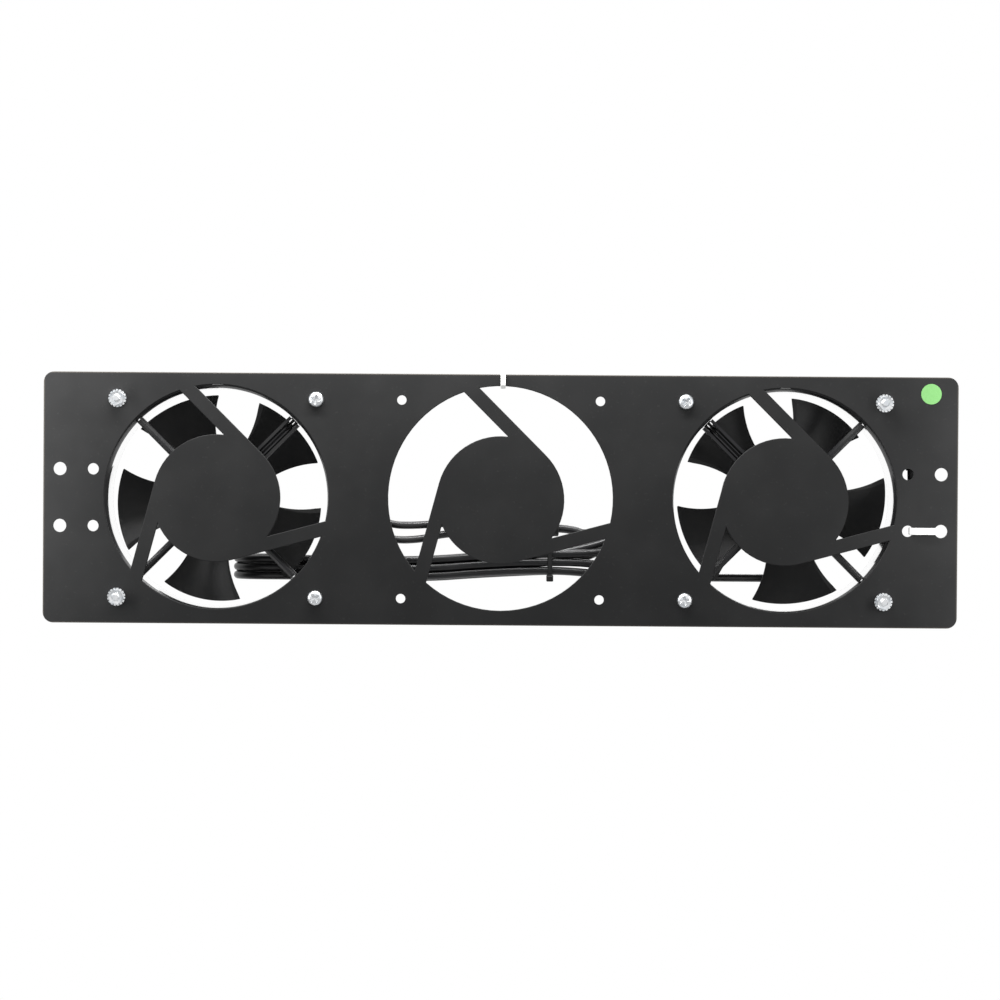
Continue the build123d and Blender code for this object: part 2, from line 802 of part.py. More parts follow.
terminal_front = box_front + box_wall
with BuildPart() as terminals:
    with BuildSketch(front_plane(terminal_front + terminal_depth, 0, terminal_z)):
        Rectangle(terminal_width, terminal_height)
    extrude(amount=terminal_depth)
    with BuildSketch(front_plane(terminal_front + terminal_depth, 0, terminal_z)):
        with GridLocations(terminal_pitch, terminal_height / 2, terminal_ways, 2):
            Circle(terminal_hole_radius)
    extrude(amount=terminal_hole_depth, mode=Mode.SUBTRACT)
save(terminals.part, "terminal_strip")

gland_inner = box_width / 2 - box_wall
gland_outer = box_width / 2 + gland_length
with BuildPart() as gland:
    for start, end, radius in (
        (gland_inner, gland_outer, gland_radius),
        (box_width / 2, box_width / 2 + gland_flange_thickness, gland_flange_radius),
    ):
        with BuildSketch(Plane(origin=(start, entry_depth, gland_z), x_dir=(0, 1, 0), z_dir=(1, 0, 0))):
            Circle(radius)
        extrude(amount=end - start)
    fillet(gland.edges().sort_by(Axis.X)[-1], (gland_radius - cord_diameter / 2) / 2)
save(gland.part, "cord_gland")

with BuildPart() as core_wires:
    core_start = terminal_width / 2
    with BuildSketch(Plane(origin=(core_start, entry_depth, gland_z), x_dir=(0, 1, 0), z_dir=(1, 0, 0))):
        with GridLocations(0, core_pitch, 1, terminal_ways):
            Circle(core_diameter / 2)
    extrude(amount=gland_inner - core_start)
save(core_wires.part, "box_core_wires")


# Fan leads, held between the fans' grommets and the terminal strip
lead_start = (grommet_start + grommet_length) * math.sqrt(0.5)
lead_turn = lead_start + lead_first_run * math.sqrt(0.5)
terminal_edge = -terminal_width / 2
left_lead_points = [
    (lead_start - bay_pitch, grommet_depth, lead_start), (lead_turn - bay_pitch, grommet_depth, lead_turn),
    (-97.2, 13.2, 50.4), (-90.5, 17.5, 48.5), (-82, 17, 40.5), (-77, 14.5, 27), (-75.5, 12, 12),
    (-75.5, 9.5, -4), (-70, 9, -16.5), (-58, 8.8, -21.8), (-42, entry_depth, -21.4),
    (-27, entry_depth, left_lead_z), (terminal_edge, entry_depth, left_lead_z),
]
right_lead_points = [
    (bay_pitch - lead_start, grommet_depth, lead_start), (bay_pitch - lead_turn, grommet_depth, lead_turn),
    (97.2, 13.2, 50.4), (90, 16.5, 52), (78, 12.5, 55), (66, 6.8, 58.5), (52, 3.2, 61.8), (35, 2.7, 62.8),
    (17, 2.8, 63), (-2, 2.7, 62.8), (-20, 2.8, 63.1), (-34, 2.7, 63), (-48, 2.8, 62.2), (-59.5, 2.8, 57),
    (-63.5, 2.9, 45), (-65, 3.5, 31), (-67, 5.5, 16), (-68, 8, 2), (-66.5, 8.8, -8),
    (-58.5, entry_depth, -13.8), (-44, entry_depth, -13.9), (-30, entry_depth, right_lead_z),
    (terminal_edge, entry_depth, right_lead_z),
]
save(tube(left_lead_points, lead_diameter), "left_fan_lead")
save(tube(right_lead_points, lead_diameter), "right_fan_lead")

# Mains cord: out of the box, into the tied hank behind the fans, then along to the plug
cord_radius = cord_diameter / 2
hank_rear = hank_front + hank_layers * cord_diameter
first_points = [
    (gland_outer, entry_depth, gland_z), (50, entry_depth, gland_z), (62, 15.5, -18), (70.2, 27, -21.8),
    (71.2, hank_front, -22.5),
]
# Behind the right fan it climbs out of sight: past a blade, past the hub and out behind the panel's arm.
# Each step is a distance right of the fan's axis and a rise above the level stretch
last_climb = ((-12, 0), (-1, 0), (8, 3), (15, 10.3), (23, 16.5), (34, 19.3), (46, 21.5))
# Round the panel's right end: distance right of the plug's middle, depth, rise above the level stretch
last_turn = ((-0.4, 43.6, 19.8), (6.6, 40, 11.8), (10.1, 30.5, 5.3), (10.6, 19, 5), (8.6, 9, 11.3),
             (5.6, 5.4, 21.8), (3.4, 6.4, 33.8))
last_points = [
    (hank_end_x, 43.5, last_run_z), (120, 43.5, last_run_z),
    *((bay_pitch + step, 43.4, last_run_z + rise) for step, rise in last_climb),
    (plug_x - last_turn_inset, 43.8, last_run_z + 23),
    *((plug_x + step, depth, last_run_z + rise) for step, depth, rise in last_turn),
    (plug_x, plug_y, 6), (plug_x, plug_y, relief_foot_z),
]
save(tube(first_points, cord_diameter), "mains_cord_first_run")
save(tube(last_points, cord_diameter), "mains_cord_last_run")

for name, points, diameter in (
    ("left lead", left_lead_points, lead_diameter),
    ("right lead", right_lead_points, lead_diameter),
    ("first run", first_points, cord_diameter),
    ("last run", last_points, cord_diameter),
):
    radii = bend_radii([Vector(*point) for point in points])
    print(name, "smallest radius", round(min(radii), 1), "in diameters", round(min(radii) / diameter, 1))

# The hank's outer shape: folds that bulge to the rear at the left end, a tied middle and a wider right end
hank_top = (
    (hank_end_x, -30), (88, -21), (76, -17.5), (64, -20), (50, -24.6), (27, -27.2), (0, -27.8),
    (-35, -30.9), (-inner_x, hank_tied_top_z), (hank_neck_x, hank_tied_top_z),
)
hank_bottom = (
    (hank_neck_x, hank_tied_bottom_z), (-inner_x, hank_tied_bottom_z), (-35, -44.3), (0, -41.2),
    (27, -40.6), (50, -41.2), (76, -43.8), (hank_end_x, hank_tied_bottom_z),
)


def hank_loop(inset):
    """Outline of the folds seen from above: a circle that narrows to the tied neck."""
    centre_y = hank_front + cord_radius + hank_loop_radius
    radius = hank_loop_radius + cord_radius - inset
    side = Vector(*polar(radius, hank_loop_angle)) + Vector(hank_loop_x, centre_y)
    neck = hank_neck_x - inset
    with BuildSketch(Plane(origin=(0, 0, hank_tied_bottom_z))) as outline:
        with Locations((hank_loop_x, centre_y)):
            Circle(radius)
        with BuildLine():
            Polyline(
                (hank_loop_x, hank_front + inset), (neck, hank_front + inset),
                (neck, hank_rear - inset), (side.X, side.Y), close=True,
            )
        make_face()
    return outline.sketch


with BuildPart() as hank:
    with BuildSketch(front_plane(hank_rear)):
        with BuildLine():
            Polyline(*hank_top, *hank_bottom, close=True)
        make_face()
    extrude(amount=hank_rear - hank_front)
    add(hank_loop(0))
    extrude(amount=hank_tied_top_z - hank_tied_bottom_z)
    add(hank_loop(cord_diameter - fit))
    extrude(amount=hank_tied_top_z - hank_tied_bottom_z, mode=Mode.SUBTRACT)
save(hank.part, "mains_cord_hank")


# Plug with recessed pins, upright behind the panel's upper right corner
with BuildPart() as plug:
    with BuildSketch(Plane(origin=(plug_x, plug_y, plug_foot_z))):
        RectangleRounded(plug_width, plug_depth, plug_corner_radius)
    extrude(amount=plug_top_z - plug_foot_z)
    fillet(plug.edges().group_by(Axis.Z)[0], plug_foot_fillet)
    with BuildSketch(Plane(origin=(plug_x, plug_y, plug_top_z))):
        RectangleRounded(socket_width, socket_depth, socket_corner_radius)
    extrude(amount=-socket_reach, mode=Mode.SUBTRACT)
save(plug.part, "plug_body")

with BuildPart() as pins:
    with BuildSketch(Plane(origin=(plug_x, plug_y, plug_top_z - socket_reach))):
        with Locations((-pin_offset, -pin_pitch), (-pin_offset, pin_pitch), (pin_offset, 0)):
            Rectangle(pin_width, pin_face)
    extrude(amount=pin_length)
    fillet(pins.edges().group_by(Axis.Z)[-1], pin_width / 5)
save(pins.part, "plug_pins")

with BuildPart() as relief:
    with BuildSketch(Plane(origin=(plug_x, plug_y, 0), x_dir=(1, 0, 0), z_dir=(0, -1, 0))):
        with BuildLine():
            Polyline(
                (0, relief_foot_z), (relief_foot_radius, relief_foot_z),
                (relief_top_radius, plug_foot_z), (0, plug_foot_z), close=True,
            )
        make_face()
    revolve(axis=Axis((plug_x, plug_y, 0), (0, 0, 1)))
    groove_pitch = (plug_foot_z - relief_foot_z) / (relief_grooves + 1)
    for index in range(1, relief_grooves + 1):
        height = relief_foot_z + groove_pitch * index
        slope = (relief_top_radius - relief_foot_radius) / (plug_foot_z - relief_foot_z)
        surface = relief_foot_radius + slope * groove_pitch * index
        with BuildSketch(Plane(origin=(plug_x, plug_y, height - relief_groove_width / 2))):
            Circle(relief_top_radius + fit)
            Circle(surface - relief_groove_depth, mode=Mode.SUBTRACT)
        extrude(amount=relief_groove_width, mode=Mode.SUBTRACT)
save(relief.part, "plug_strain_relief")


# Cable ties: each strap is a closed flat loop with a head on its outside
def cable_tie(plane, outline, width, thickness, head):
    """Strap round an outline in its own plane, and a head centred at a point, with its size there."""
    head_place, head_size = head
    with BuildPart() as tie:
        with BuildSketch(plane) as band:
            with BuildLine():
                Polyline(*outline, close=True)
            make_face()
            fillet(band.vertices(), tie_bend)
            inside = band.sketch_local
            offset(amount=thickness)
            with Locations(head_place):
                Rectangle(*head_size)
            add(inside, mode=Mode.SUBTRACT)
        extrude(amount=width / 2, both=True)
        with BuildSketch(plane):
            with Locations(head_place):
                Rectangle(*head_size)
        extrude(amount=width / 2 + tie_head_margin, both=True)
        with BuildSketch(plane) as passage:
            add(inside)
        extrude(amount=width / 2 + tie_head_margin, both=True, mode=Mode.SUBTRACT)
    return tie.part


def across_plane(x):
    """Plane across the panel's length, with depth as its x and height as its y."""
    return Plane(origin=(x, 0, 0), x_dir=(0, 1, 0), z_dir=(1, 0, 0))


def corner_tie(x, top, rear, front):
    """Tie round a cord and the edge of a fan's rear flange, through the flange's free corner hole."""
    flange_front = fan_depth - flange_thickness - clear
    below = -fan_size / 2 - clear
    hole = -screw_pitch / 2 - tie_thickness / 2
    outline = (
        (flange_front, below), (flange_front, hole), (front, hole), (front, top), (rear, top),
        (rear, hole + corner_tie_rise), (fan_depth + clear, below),
    )
    head = ((rear + tie_head_height / 2, top - tie_head_length), (tie_head_height, tie_head_length))
    return cable_tie(across_plane(x), outline, black_tie_width, tie_thickness, head)


hank_tie_front = hank_front - clear
hank_tie_rear = hank_rear + clear
save(corner_tie(-inner_x, hank_tied_top_z + clear + fit, hank_tie_rear, hank_tie_front), "left_hank_tie")
last_run_y, last_run_z = last_points[0][1], last_points[0][2]
tie_reach = cord_radius + clear
last_run_tie = (last_run_z + tie_reach, last_run_y + tie_reach, last_run_y - tie_reach)
save(corner_tie(inner_x, *last_run_tie), "last_run_tie")

bundle_outline = (
    (hank_tie_front, bundle_tie_low), (hank_tie_front, bundle_tie_high),
    (hank_tie_rear, bundle_tie_high), (hank_tie_rear, bundle_tie_low),
)
bundle_head_place = ((hank_front + hank_rear) / 2, bundle_tie_low - tie_head_height / 2)
bundle_head = (bundle_head_place, (tie_head_length, tie_head_height))
save(
    cable_tie(across_plane(bundle_tie_x), bundle_outline, black_tie_width, tie_thickness, bundle_head),
    "bundle_tie",
)

tie_front = -panel_thickness - clear
top_tie_low = opening_radius + opening_rise - clear
top_tie_high = panel_height / 2 + clear
top_outline = (
    (tie_front, top_tie_low), (tie_front, top_tie_high),
    (top_tie_rear, top_tie_high), (top_tie_rear, top_tie_low),
)
top_head = ((top_tie_rear + tie_head_height / 2, top_tie_head_z), (tie_head_height, tie_head_length))
save(
    cable_tie(across_plane(top_tie_x), top_outline, top_tie_width, tie_thickness, top_head), "top_web_tie"
)

side_plane = Plane(origin=(0, 0, -rack_hole_pitch_z / 2))
side_tie_x = (side_tie_left_x + side_tie_right_x) / 2
side_outline = (
    (side_tie_left_x, tie_front), (side_tie_left_x, side_tie_bend_depth),
    (side_tie_left_x + side_tie_slope, side_tie_rear), (side_tie_right_x - side_tie_slope, side_tie_rear),
    (side_tie_right_x, side_tie_bend_depth), (side_tie_right_x, tie_front),
)
side_head = ((side_tie_x, side_tie_rear + tie_head_height / 2), (tie_head_length, tie_head_height))
save(
    cable_tie(side_plane, side_outline, side_tie_width, white_tie_thickness, side_head), "side_hole_tie"
)
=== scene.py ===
# %% [markdown]
# A three-bay rack fan panel, dressed for a picture. The metal and plastic pieces come from the packed
# CAD model. This lesson adds what a solid modeller does badly: cords that bend, threads, ribbed cable
# ties, and finishes such as powder coat, zinc and soft vinyl.

# %% Load the frame
import math

import bmesh
import bpy
import numpy as np
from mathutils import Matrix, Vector


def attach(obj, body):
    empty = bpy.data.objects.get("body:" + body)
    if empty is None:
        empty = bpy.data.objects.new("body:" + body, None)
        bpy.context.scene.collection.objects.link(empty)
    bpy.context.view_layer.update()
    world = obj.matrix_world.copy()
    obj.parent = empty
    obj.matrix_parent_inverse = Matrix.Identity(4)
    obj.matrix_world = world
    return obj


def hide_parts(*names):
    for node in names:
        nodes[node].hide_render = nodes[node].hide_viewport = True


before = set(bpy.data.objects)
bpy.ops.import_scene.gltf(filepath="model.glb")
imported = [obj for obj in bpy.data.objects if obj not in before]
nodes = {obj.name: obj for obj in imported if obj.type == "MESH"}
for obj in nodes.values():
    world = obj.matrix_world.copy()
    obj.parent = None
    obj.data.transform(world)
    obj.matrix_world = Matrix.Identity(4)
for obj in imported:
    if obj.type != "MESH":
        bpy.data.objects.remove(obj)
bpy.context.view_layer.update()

# %% [markdown]
# The picture was taken square to the panel, from about 1.7 m, with the camera a hair above the middle
# and turned by less than half a degree. A long lens at that distance keeps the round openings round and
# still shows a little of the ducts' inner walls. The lens follows from the width that the frame takes
# in at the panel, which was read from the picture as 528 mm.

# %% Camera
CAMERA_DISTANCE = 1.7
FRAME_WIDTH = 0.5282
CAMERA_RISE = math.radians(0.7)
CAMERA_ROLL = math.radians(0.4)
LOOK_AT = (-0.0004, 0.0, 0.0)

camera_data = bpy.data.cameras.new("camera")
camera_data.sensor_width = 36.0
camera_data.lens = 36.0 * CAMERA_DISTANCE / FRAME_WIDTH
camera = bpy.data.objects.new("camera", camera_data)
camera.location = (
    LOOK_AT[0],
    LOOK_AT[1] - CAMERA_DISTANCE * math.cos(CAMERA_RISE),
    LOOK_AT[2] + CAMERA_DISTANCE * math.sin(CAMERA_RISE),
)
camera.rotation_euler = (math.pi / 2 - CAMERA_RISE, -CAMERA_ROLL, 0.0)
bpy.context.scene.collection.objects.link(camera)
bpy.context.scene.camera = camera
bpy.context.scene.view_settings.view_transform = "Standard"
print("lens, mm:", round(camera_data.lens, 1))

# %% [markdown]
# A cord is one smooth line with a round section. A quadratic NURBS spline suits it: its control points
# are the corners of the route, and the spline rounds each corner by itself. The order is set after the
# points are there, because before that it would fall back to straight runs. Blender adds each point's
# radius to a curve's box, so the points carry the cord's radius and the bevel depth is 1.


# %% Helper for cords
def lay_cord(name, route_mm, diameter_mm):
    """Round cord along a quadratic spline whose control points are the route's corners, in mm."""
    line = bpy.data.curves.new(name, "CURVE")
    line.dimensions = "3D"
    line.resolution_u = 10
    line.bevel_depth = 1.0
    line.bevel_resolution = 4
    line.use_fill_caps = True
    spline = line.splines.new("NURBS")
    spline.points.add(len(route_mm) - 1)
    corners = np.ones((len(route_mm), 4))
    corners[:, :3] = np.array(route_mm) / 1000
    spline.points.foreach_set("co", corners.ravel())
    spline.points.foreach_set("radius", np.full(len(route_mm), diameter_mm / 2000))
    spline.order_u = 3
    spline.use_endpoint_u = True
    spline.use_smooth = True
    cord = bpy.data.objects.new(name, line)
    bpy.context.scene.collection.objects.link(cord)
    return cord


# %% [markdown]
# The mains cord leaves the junction box, turns back towards the left behind the fans and is folded into
# a hank: three runs there and three back, two deep and three high. The left folds bulge to the rear,
# one on top of another, so the hank ends square when it is seen from the front. The right folds stand
# upright behind the panel. Ties hold the hank at its middle and to the left fan. Then the cord runs
# along behind the right fan to its plug.

# %% Mains cord
LEFT_FOLD = [
    (-116, 41.9), (-134.2, 41.9), (-143, 50.7), (-143, 62.3), (-134.5, 70.9), (-121.3, 70.3), (-110.8, 57),
    (-103.2, 47.1),
]


def left_fold(height, order=1):
    """Corners of a left fold at one height, from the front run to the rear run, or back for order -1."""
    return [(x, y, height) for x, y in LEFT_FOLD[::order]]


MAINS_ROUTE = [
    # out of the gland, down behind the panel's arm, then to the rear and back
    (31, 9, -15), (38, 9, -15.4), (44, 9, -17.6), (51, 9.4, -17.6), (61, 12.5, -16.2), (70.5, 20.5, -18.5),
    (72.5, 31, -22.5), (66.5, 39.5, -26.3), (55, 42, -28.4),
    # to the left along the top row, in front, and its fold to the rear
    (40, 42.0, -29.5), (27, 42.1, -29.5), (8, 42.0, -30.0), (-14, 42.2, -31.2), (-38, 42.1, -33.2),
    (-68, 42.2, -33.6), (-92, 42.1, -33.3),
    *left_fold(-33.3),
    # back along the top row, behind, and the right fold down to the bottom row
    (-92, 46.5, -33.3), (-68, 46.6, -34.0), (-38, 46.5, -34.0), (-14, 46.6, -32.0), (8, 46.5, -30.6),
    (27, 46.5, -29.6), (40, 46.3, -27.7), (56, 44.2, -23.6), (70, 40.7, -17.6), (81.9, 40.3, -16.7),
    (90.3, 40.3, -25.1), (90.3, 40.3, -36.9), (81.9, 40.3, -45.3), (70, 40.6, -44.3), (57, 41.4, -40.6),
    # to the left along the bottom row, in front, and its fold to the rear
    (40, 42.0, -39.0), (27, 42.1, -38.5), (8, 42.1, -38.8), (-14, 42.2, -40.1), (-38, 42.1, -42.1),
    (-68, 42.0, -42.3), (-92, 42.1, -42.2),
    *left_fold(-42.2),
    # back along the bottom row, behind, and the right fold up and into the middle row
    (-92, 46.5, -42.2), (-68, 46.5, -42.9), (-38, 46.5, -42.9), (-14, 46.5, -41.0), (8, 46.5, -39.7),
    (27, 46.5, -38.8), (40, 46.6, -39.0), (58, 47.4, -40.6), (70, 48.9, -44.1), (81.8, 49.3, -45.1),
    (90.2, 49.3, -36.7), (90.2, 49.3, -24.9), (81.8, 49.3, -16.5), (69, 49.4, -18.0),
    # to the left along the middle row, behind, and its fold to the front
    (56, 49.3, -27.4), (42, 47.6, -33.0), (27, 46.6, -34.2), (8, 46.5, -35.1), (-14, 46.5, -36.4),
    (-38, 46.5, -38.4), (-68, 46.5, -38.4), (-92, 46.5, -37.8),
    *left_fold(-37.75, -1),
    # back along the middle row, in front, and out past the right folds
    (-92, 42.1, -37.75), (-68, 42.1, -38.0), (-38, 42.0, -37.7), (-14, 42.1, -35.7), (8, 42.0, -34.4),
    (27, 42.1, -34.0), (42, 42.5, -34.0), (58, 43.6, -35.6), (76, 44.8, -39.2), (88, 44.7, -41.4),
    # behind the right fan, out of sight past a blade, the hub and the panel's arm, and up to the plug
    (99, 43.5, -41.8), (120, 43.5, -41.8), (138, 43.4, -41.8), (149, 43.4, -41.8), (158, 43.4, -38.8),
    (165, 43.4, -31.5), (173, 43.4, -25.3), (184, 43.4, -22.5), (196, 43.4, -20.3), (208, 43.8, -18.8),
    (218, 43.6, -22), (225, 40, -30), (228.5, 30.5, -36.5), (229, 19, -36.8), (227, 9, -30.5),
    (224, 5.4, -20), (221.8, 6.4, -8), (218.4, 12, 6), (218.4, 12, 17),
]
mains_cord = lay_cord("mains_cord", MAINS_ROUTE, 4.4)
print("mains cord, corners:", len(MAINS_ROUTE))

# %% [markdown]
# Each fan has a thinner lead with a soft sleeve. It leaves the grommet in the duct's wall at the corner
# next to the middle bay, turns back over the nut there and runs to the junction box. The right lead
# takes the long way over the top, under the white tie, outside the middle bay's fan holes.

# %% Fan leads
LEFT_LEAD_ROUTE = [
    (-104.89, 8.4, 45.11), (-101.71, 8.4, 48.29), (-97.2, 13.2, 50.4), (-90.5, 17.5, 48.5), (-82, 17, 40.5),
    (-77, 14.5, 27), (-75.5, 12, 12), (-75.5, 9.5, -4), (-70, 9, -16.5), (-58, 8.8, -21.8), (-42, 9, -21.4),
    (-27, 9, -17.5), (-10, 9, -17.5),
]
RIGHT_LEAD_ROUTE = [
    (104.89, 8.4, 45.11), (101.71, 8.4, 48.29), (97.2, 13.2, 50.4), (90, 16.5, 52), (78, 12.5, 55),
    (66, 6.8, 58.5), (52, 3.2, 61.8), (35, 2.7, 62.8), (17, 2.8, 63), (-2, 2.7, 62.8), (-20, 2.8, 63.1),
    (-34, 2.7, 63), (-48, 2.8, 62.2), (-59.5, 2.8, 57), (-63.5, 2.9, 45), (-65, 3.5, 31), (-67, 5.5, 16),
    (-68, 8, 2), (-66.5, 8.8, -8), (-58.5, 9, -13.8), (-44, 9, -13.9), (-30, 9, -12.5), (-10, 9, -12.5),
]
left_lead = lay_cord("left_lead_sleeve", LEFT_LEAD_ROUTE, 4.0)
right_lead = lay_cord("right_lead_sleeve", RIGHT_LEAD_ROUTE, 4.0)
print("leads, corners:", len(LEFT_LEAD_ROUTE), len(RIGHT_LEAD_ROUTE))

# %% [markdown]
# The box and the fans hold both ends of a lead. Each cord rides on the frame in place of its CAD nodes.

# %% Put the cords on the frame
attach(mains_cord, "frame")
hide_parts("mains_cord_first_run", "mains_cord_hank", "mains_cord_last_run")
for lead, node, route, length in (
    (left_lead, "left_fan_lead", LEFT_LEAD_ROUTE, 0.150),
    (right_lead, "right_fan_lead", RIGHT_LEAD_ROUTE, 0.295),
):
    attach(lead, "frame")
    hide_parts(node)

# %% [markdown]
# The object is black on pure white. The world is plain pale grey light for everything that it falls on,
# and white where the camera, a reflection or a see-through piece looks at it. Three narrow lamps stand
# beside the panel, above it and at both ends, a little in front. They shine straight back, so their
# light falls off fast across the panel: the upper left corner is the brightest and the lower middle
# the darkest. A larger lamp behind shows the rear in the other views.

# %% World
WHITE = (1, 1, 1, 1)
FALLING_LIGHT = (0.62, 0.63, 0.65, 1)

scene = bpy.context.scene
world = bpy.data.worlds.new("studio")
world.use_nodes = True
scene.world = world
sky = world.node_tree
sky.nodes.clear()
seen = sky.nodes.new("ShaderNodeBackground")
seen.inputs["Color"].default_value = WHITE
falling = sky.nodes.new("ShaderNodeBackground")
falling.inputs["Color"].default_value = FALLING_LIGHT
rays = sky.nodes.new("ShaderNodeLightPath")
either = sky.nodes.new("ShaderNodeMath")
either.operation = "MAXIMUM"
any_of = sky.nodes.new("ShaderNodeMath")
any_of.operation = "MAXIMUM"
sky.links.new(rays.outputs["Is Camera Ray"], either.inputs[0])
sky.links.new(rays.outputs["Is Glossy Ray"], either.inputs[1])
sky.links.new(either.outputs[0], any_of.inputs[0])
sky.links.new(rays.outputs["Is Transmission Ray"], any_of.inputs[1])
pick = sky.nodes.new("ShaderNodeMixShader")
sky.links.new(any_of.outputs[0], pick.inputs["Fac"])
sky.links.new(falling.outputs[0], pick.inputs[1])
sky.links.new(seen.outputs[0], pick.inputs[2])
sky_out = sky.nodes.new("ShaderNodeOutputWorld")
sky.links.new(pick.outputs[0], sky_out.inputs["Surface"])
print("world nodes:", len(sky.nodes))


# %% Lamps
def soft_lamp(name, place, width, height, watts, aim=(0, 1, 0)):
    """Rectangular lamp that shines straight back, or towards aim, and isn't seen by the camera."""
    lamp = bpy.data.lights.new(name, "AREA")
    lamp.shape = "RECTANGLE"
    lamp.size, lamp.size_y, lamp.energy = width, height, watts
    holder = bpy.data.objects.new(name, lamp)
    holder.location = place
    holder.rotation_euler = Vector(aim).to_track_quat("-Z", "Y").to_euler()
    holder.visible_camera = False
    scene.collection.objects.link(holder)


soft_lamp("upper lamp", place=(-0.07, -0.07, 0.26), width=0.44, height=0.08, watts=9.2)
soft_lamp("left lamp", place=(-0.33, -0.07, 0.035), width=0.06, height=0.20, watts=0.85)
soft_lamp("right lamp", place=(0.33, -0.10, 0.02), width=0.06, height=0.20, watts=0.5)
soft_lamp("rear lamp", place=(0.3, 0.9, 0.7), width=0.7, height=0.5, watts=9.0, aim=(-0.3, -0.9, -0.7))

# %% [markdown]
# A flat grid is enough for the floor. It reaches far to the front and the sides, and stops soon behind
# the panel, so that the picture from the front shows none of it. Every surface in this lesson is made
# the same way: numpy works out the points of a grid as whole arrays, and one helper makes its faces.


# %% Helper for surfaces
def grid_faces(rows, columns, close_rows=False, close_columns=False):
    """Quads of a grid of points numbered row by row, joined round where a direction is closed."""
    r = np.arange(rows if close_rows else rows - 1)
    c = np.arange(columns if close_columns else columns - 1)
    r, c = (axis.ravel() for axis in np.meshgrid(r, c, indexing="ij"))
    r2, c2 = (r + 1) % rows, (c + 1) % columns
    return np.stack([r * columns + c, r2 * columns + c, r2 * columns + c2, r * columns + c2], axis=1)


def make_piece(name, points_mm, faces, sharp_degrees=35.0):
    """Mesh object from points in mm and faces, with outward faces and sharp edges above an angle."""
    mesh = bpy.data.meshes.new(name)
    mesh.from_pydata((np.asarray(points_mm) / 1000).tolist(), [], [[int(i) for i in face] for face in faces])
    shape = bmesh.new()
    shape.from_mesh(mesh)
    bmesh.ops.recalc_face_normals(shape, faces=shape.faces)
    shape.to_mesh(mesh)
    shape.free()
    mesh.shade_smooth()
    mesh.set_sharp_from_angle(angle=math.radians(sharp_degrees))
    piece = bpy.data.objects.new(name, mesh)
    scene.collection.objects.link(piece)
    return piece


# %% Floor
FLOOR_HALF_WIDTH, FLOOR_FRONT, FLOOR_REAR, FLOOR_Z = 3000, -4000, 560, -380.0

floor_x, floor_y = np.meshgrid(
    np.linspace(-FLOOR_HALF_WIDTH, FLOOR_HALF_WIDTH, 3), np.linspace(FLOOR_FRONT, FLOOR_REAR, 3))
floor_points = np.stack([floor_x.ravel(), floor_y.ravel(), np.full(floor_x.size, FLOOR_Z)], axis=1)
floor = make_piece("floor", floor_points, grid_faces(3, 3))
print("floor, points:", len(floor_points))

# %% [markdown]
# Most small hardware is a stack of rings. A ring is a row of points round an axis or round a strap's
# section; a stack of rings, capped at its ends or joined into a loop, is a closed solid. The same part
# is then repeated at each place, turned a little differently every time, and joined into one mesh.


# %% Helpers for hardware
def stack(rings, loop=False):
    """Points and faces of rings of equal length, capped at both ends or joined into a loop."""
    rows, columns = rings.shape[:2]
    faces = grid_faces(rows, columns, loop, True).tolist()
    if not loop:
        faces += [list(range(columns)), list(range((rows - 1) * columns, rows * columns))]
    return rings.reshape(-1, 3), faces


def turned(radii, heights, columns=48):
    """Rings round the Y axis: x = r cos a, y = h, z = r sin a, with r and h by row or by row and column."""
    shape = (len(radii), columns)
    radii = np.broadcast_to(np.reshape(radii, (len(radii), -1)), shape)
    heights = np.broadcast_to(np.reshape(heights, (len(radii), -1)), shape)
    angle = np.arange(columns) * math.tau / columns
    return np.stack([radii * np.cos(angle), heights, radii * np.sin(angle)], axis=2)


def repeated(name, parts, places):
    """One piece from parts repeated at places (x mm, z mm, degrees of turn about Y)."""
    points, faces, count = [], [], 0
    for x, z, degrees in places:
        c, s = math.cos(math.radians(degrees)), math.sin(math.radians(degrees))
        turn = np.array([[c, 0, -s], [0, 1, 0], [s, 0, c]])
        for part_points, part_faces in parts:
            points.append(part_points @ turn + (x, 0, z))
            faces += [[index + count for index in face] for face in part_faces]
            count += len(part_points)
    return make_piece(name, np.concatenate(points), faces)


def threaded(start, end, radius=2.0, pitch=0.7, depth=0.38, columns=28):
    """Threaded rod along Y: r = R - depth * triangle(y / pitch + a / 2 pi), with a tapered tip."""
    rows = int(abs(end - start) / pitch * 8)
    y = np.linspace(start, end, rows)[:, None]
    a = np.arange(columns)[None, :] * math.tau / columns
    turns = y / pitch + a / math.tau
    wave = 2 * np.abs(turns - np.floor(turns + 0.5))
    taper = radius - 0.6 + np.abs(end - y)
    return stack(turned(np.minimum(radius - depth * wave, taper), y, columns))

# %% [markdown]
# The screw's head is one surface: a dome whose height is lowered in two crossing wings. The nut and the
# washer are profiles carried round the axis and joined into a loop. A nut's radius follows the distance
# to its nearest flat, and a washer's rim is cut back between its teeth.

# %% Screws, nuts and washers
WING_HALF_WIDTH, WING_REACH, WING_DEPTH, WING_SLOPE = 0.66, 2.55, 1.75, 0.42
TALLEST_HEAD = 2.6
MOUTH_BEVEL = 0.35


